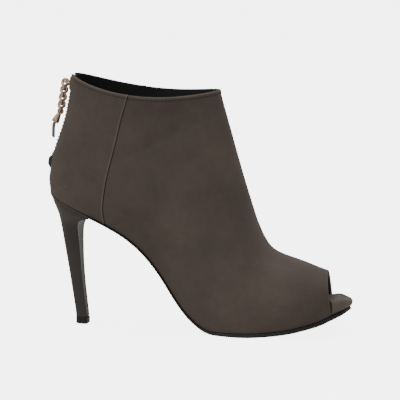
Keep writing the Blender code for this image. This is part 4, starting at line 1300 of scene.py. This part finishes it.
def build_zip(fabric, brass, tab):
    """Tape, teeth, stop, tab and slider. Gives the middle of the bail, where the pull hangs."""
    foot = section_sizes([ZIP_FOOT_ROW]).sole_z[0]
    inner = WALL + 2 * GAP
    floor = -WALL - GAP

    def tape_face(places):
        """Face of the tape, with a low ridge on each side of its middle."""
        return -inner + TAPE_RIDGE * bell(np.abs(places) - 0.45, 0.09)

    heights = np.linspace(foot - TAPE_BELOW_SLOT, BOOT_HEIGHT - TAPE_DROP, 40)
    stations = [(z, TAPE_WIDTH / 2, -inner - TAPE, tape_face) for z in heights]
    made = add_band("tape_weave", stations, 25, fabric)
    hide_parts("zip_tape")

    def crowned(height, low=0.0):
        """Offsets across a band that is rounded off towards its sides."""
        return lambda places: low + height * np.sqrt(np.clip(1 - (0.93 * places) ** 4, 0, 1))

    guard_foot = foot + 2 * GAP
    guard_top = guard_foot + GUARD_HEIGHT
    stations = []
    for share in np.linspace(0, 1, 13):
        half_width = GUARD_HALF * np.interp(share, *GUARD_TAPER)
        proud = GUARD_PROUD * min(1.0, 0.12 + 2.6 * share, 0.45 + 4 * (1.0 - share))
        stations.append((guard_foot + share * GUARD_HEIGHT, half_width, floor, crowned(proud)))
    made = add_band("zip_foot_tab", stations, 13, tab)
    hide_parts("zip_guard")

    stop_foot = guard_top + GAP
    stop_top = stop_foot + STOP_HEIGHT
    stations = []
    for share in np.linspace(0, 1, 9):
        bow = np.sqrt(max(1 - (2 * share - 1) ** 4, 0))
        half_width = STOP_HALF * (0.85 + 0.15 * bow)
        face = crowned(STOP_PROUD * (0.3 + 0.7 * bow))
        stations.append((stop_foot + share * STOP_HEIGHT, half_width, floor, face))
    made = add_band("zip_bottom_stop", stations, 13, brass)
    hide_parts("zip_stop")

    shells = Shells()
    z = stop_top + GAP
    number = 0
    while z < BOOT_HEIGHT - TEETH_DROP:
        row = back_row(z + TOOTH / 2)
        base = back_point(row, 0.0, 0.0)
        out = back_point(row, 0.0, 1.0) - base
        shells.add(tooth_rings(base, out, 1 if number % 2 else -1))
        z += TOOTH_PITCH * TOOTH
        number += 1
    made = shells.piece("zip_tooth_rows", brass)
    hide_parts("zip_teeth")

    slider_z = BOOT_HEIGHT - SLIDER_DROP
    stations = []
    for share in np.linspace(0, 1, 25):
        round_end = np.sqrt(max(1 - (2 * share - 1) ** 6, 0))
        half_width = SLIDER_HALF * np.interp(share, *SLIDER_TAPER)
        proud = SLIDER_PROUD * (0.55 + 0.45 * round_end)
        z = slider_z + (share - 0.5) * SLIDER_HEIGHT
        stations.append((z, half_width * (0.85 + 0.15 * round_end), GAP, crowned(proud - GAP, GAP)))
    shells = Shells()
    shells.add(band_rings(stations, 17))
    row = back_row(slider_z)
    base = back_point(row, 0.0, 0.0)
    out = back_point(row, 0.0, 1.0) - base
    turns = np.linspace(0, np.pi, 25)
    aside = np.sign(np.cos(turns)) * np.abs(np.cos(turns)) ** 0.55 * BAIL_HALF
    reach = np.clip(np.abs(np.sin(turns)) ** 0.6, 0.16, 1) * BAIL_REACH
    path = base + aside[:, None] * SIDEWAYS + reach[:, None] * out
    facing = path - (base + 0.5 * BAIL_REACH * out)
    shells.add(tube(path, facing, BAIL_WIRE, 14))
    made = shells.piece("zip_slider_body", brass)
    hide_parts("zip_slider")
    return base + BAIL_REACH * out


# Pull: shape of its cap, as shares of CAP_LENGTH and CAP_RADIUS
CAP_START = 0.13
CAP_MOUTH = 0.742
CAP_CONE = ((0.13, 0.20, 0.72, 0.95, 1.0), (0.20, 0.52, 0.90, 1.0, 0.97))
CAP_RIB = 0.10
CAP_RIBBED = (0.2, 0.73)
CAP_RIB_START = 0.16
CAP_RIB_PITCH = 0.142
CAP_INSIDE = ((0.995, 0.82), (0.96, 0.76), (0.85, 0.74), (CAP_MOUTH, 0.73))


def link_path(start, down, twist):
    """Centre line of one chain link hanging from start, and its outward directions."""
    straight = LINK_LENGTH / 2 - LINK_HOLE
    radius = LINK_HOLE + LINK_WIRE
    arc = np.linspace(-np.pi / 2, np.pi / 2, 19)
    run = np.linspace(-1, 1, 9)[1:-1] * straight
    along = np.r_[-straight - radius * np.cos(arc), run, straight + radius * np.cos(arc), run[::-1]]
    aside = np.r_[
        radius * np.sin(arc), [radius] * len(run), radius * np.sin(arc[::-1]), [-radius] * len(run)
    ]
    share = np.clip((along + straight) / (2 * straight), 0, 1)
    angle = twist * share**2 * (3 - 2 * share)
    across = np.array([-down[2], 0.0, down[0]])
    direction = np.cos(angle)[:, None] * across + np.sin(angle)[:, None] * SIDEWAYS
    middle = start + down * straight
    axis = middle + np.clip(along, -straight, straight)[:, None] * down
    path = middle + along[:, None] * down + aside[:, None] * direction
    return path, path - axis


def build_pull(hinge, rose, strip_hide):
    """Four links hanging from the hinge, the ribbed cap with its eye, and the leather strip."""
    down = np.array([-np.sin(CHAIN_LEAN), 0.0, -np.cos(CHAIN_LEAN)])
    pitch = LINK_LENGTH - GAP
    for number in range(LINKS):
        path, facing = link_path(hinge + number * pitch * down, down, np.pi / 2)
        rings = tube(path, facing, LINK_WIRE + LINK_CROWN, 16, closed=True)
        shells = Shells()
        shells.add(rings, closed=True)
        made = shells.piece(f"chain_link_{number + 1}", rose, "pull")
        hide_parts(f"pull_link_{number + 1}")
    eye = hinge + (LINKS * pitch) * down
    lean = np.array([-np.sin(CAP_LEAN), 0.0, -np.cos(CAP_LEAN)])
    across = np.array([-lean[2], 0.0, lean[0]])
    angles = np.arange(40) * 2 * np.pi / 40
    turned = np.cos(angles)[:, None] * across + np.sin(angles)[:, None] * lean
    shells = Shells()
    shells.add(tube(eye + (LINK_HOLE + EYE_WIRE) * turned, turned, EYE_WIRE, 12, True), closed=True)
    circle = np.cos(angles)[:, None] * across + np.sin(angles)[:, None] * SIDEWAYS
    rings = []
    for share in np.linspace(CAP_START, 1.0, 60):
        wave = abs(np.sin(np.pi * (share - CAP_RIB_START) / CAP_RIB_PITCH))
        rib = CAP_RIB * wave if CAP_RIBBED[0] < share < CAP_RIBBED[1] else CAP_RIB / 2
        radius = np.interp(share, *CAP_CONE) - CAP_RIB + rib
        rings.append(eye + share * CAP_LENGTH * lean + radius * CAP_RADIUS * circle)
    for share, radius in CAP_INSIDE:
        rings.append(eye + share * CAP_LENGTH * lean + radius * CAP_RADIUS * circle)
    shells.add(rings)
    made = shells.piece("chain_cap", rose, "pull", sharp=60)
    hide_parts("pull_cap")

    start = eye + (CAP_MOUTH * CAP_LENGTH + GAP) * lean
    bend = eye + (CAP_LENGTH + GAP) * lean
    drop = np.array([-np.sin(STRIP_LEAN), 0.0, -np.cos(STRIP_LEAN)])
    knots = np.array(
        [start, bend, bend + 0.3 * STRIP_DROP * (drop + lean) / 2, bend + STRIP_DROP * drop]
    )
    share = np.linspace(0, 3, 40)
    path = spline(knots, share)
    rings = []
    for spot, place in zip(path, share):
        end = min(1.0, 0.55 + 6 * (3 - place))
        ring = []
        for angle in np.arange(20) * 2 * np.pi / 20:
            square = max(abs(np.cos(angle)), abs(np.sin(angle))) ** 0.85
            ring.append(
                spot
                + end * STRIP_THICK / 2 * np.cos(angle) / square * across
                + end * STRIP_WIDTH / 2 * np.sin(angle) / square * SIDEWAYS
            )
        rings.append(ring)
    shells = Shells()
    shells.add(rings)
    made = shells.piece("pull_strip_hide", strip_hide, "pull", sharp=60)
    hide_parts("pull_strip")


# Studio
def build_studio():
    """Pale floor, soft lights and the camera."""
    scene = bpy.context.scene
    mesh = bpy.data.meshes.new("floor")
    far = FLOOR_REACH
    corners = [(-far, -far, 0), (far, -far, 0), (far, far, 0), (-far, far, 0)]
    mesh.from_pydata(corners, [], [[0, 1, 2, 3]])
    floor = bpy.data.objects.new("floor", mesh)
    scene.collection.objects.link(floor)
    made, _, shader, _ = new_material("floor", (0.93, 0.93, 0.93), 0.8)
    shader.inputs["Emission Color"].default_value = (1.0, 1.0, 1.0, 1.0)
    shader.inputs["Emission Strength"].default_value = FLOOR_GLOW
    mesh.materials.append(made)
    floor.visible_diffuse = False
    floor.visible_glossy = False

    world = bpy.data.worlds.new("studio")
    world.use_nodes = True
    world.node_tree.nodes["Background"].inputs["Color"].default_value = (1, 1, 1, 1)
    world.node_tree.nodes["Background"].inputs["Strength"].default_value = WORLD_LIGHT
    scene.world = world

    def area(name, place, aim, size, watts):
        """Soft square light at a place, turned to its aim."""
        lamp = bpy.data.lights.new(name, "AREA")
        lamp.energy = watts
        lamp.size = size
        made = bpy.data.objects.new(name, lamp)
        made.location = place
        direction = np.array(aim) - np.array(place)
        made.rotation_mode = "QUATERNION"
        made.rotation_quaternion = Vector(direction).to_track_quat("-Z", "Y")
        scene.collection.objects.link(made)

    area("key", (-0.7, -1.2, 1.4), (0.08, 0, 0.09), 1.0, KEY_WATTS)
    area("top", (0.2, 0.3, 1.8), (0.08, 0, 0.05), 1.2, TOP_WATTS)

    camera_data = bpy.data.cameras.new("camera")
    camera_data.sensor_width = SENSOR
    camera_data.lens = FOCAL_PIXELS / PHOTO_SIZE * SENSOR
    camera_data.clip_start = 0.1
    camera_data.clip_end = 50
    camera = bpy.data.objects.new("camera", camera_data)
    back = np.array(
        [
            np.sin(CAMERA_TURN) * np.cos(CAMERA_RISE),
            -np.cos(CAMERA_TURN) * np.cos(CAMERA_RISE),
            np.sin(CAMERA_RISE),
        ]
    )
    camera.location = np.array(CAMERA_AIM) + CAMERA_DISTANCE * back
    camera.rotation_euler = (np.pi / 2 - CAMERA_RISE, 0, CAMERA_TURN)
    scene.collection.objects.link(camera)
    scene.camera = camera


def build_boot():
    """Materials and pieces of the boot."""
    hide = leather("mottled leather", (0.078, 0.055, 0.043), (0.128, 0.094, 0.074), 0.62, sheen=0.10)
    heel_hide = leather("heel leather", (0.048, 0.038, 0.032), (0.072, 0.059, 0.050), 0.50, 0.7, 0.08)
    # The breast is the heel's leather painted pale and grey as a painted reflection of the white floor.
    breast = leather("heel breast leather with painted floor reflection", (0.24, 0.24, 0.21), (0.31, 0.31, 0.275), 0.38, 0.5)
    rim_hide = leather("toe rim leather", (0.135, 0.105, 0.080), (0.205, 0.165, 0.130), 0.55, sheen=0.1)
    strip_hide = leather("strip leather", (0.22, 0.18, 0.145), (0.33, 0.275, 0.225), 0.6)
    # The tab's dark grey is painted shade: the colour of the boot's leather lying in deep shadow.
    tab = leather("zip tab leather darkened with painted shade", (0.040, 0.042, 0.045), (0.060, 0.062, 0.066), 0.5)
    # Black lining, made darker still as painted shade of the boot's inside.
    lining = leather("sock lining", (0.004, 0.0037, 0.003), (0.008, 0.007, 0.006), 0.8)
    rubber = polymer("sole edge", (0.006, 0.0052, 0.0045), 0.42, coat=0.15)
    tip_rubber = polymer("heel tip", (0.013, 0.012, 0.012), 0.45)
    fabric = woven("zip tape", (0.010, 0.010, 0.011), 0.0006)
    brass = metal("zip metal", (0.62, 0.50, 0.37), 0.28, (0.42, 0.32, 0.23))
    rose = metal("chain metal", (0.86, 0.66, 0.51), 0.17, (0.60, 0.42, 0.29))
    thread = new_material("thread", (0.060, 0.048, 0.040), 0.7)[0]
    outer, from_collar = build_upper(hide, lining)
    build_stitches(outer, from_collar, thread)
    build_outsole(rubber)
    build_platform(rim_hide)
    build_insole(lining)
    build_heel(heel_hide, breast, tip_rubber)
    hinge = build_zip(fabric, brass, tab)
    build_pull(hinge, rose, strip_hide)


build_boot()
build_studio()
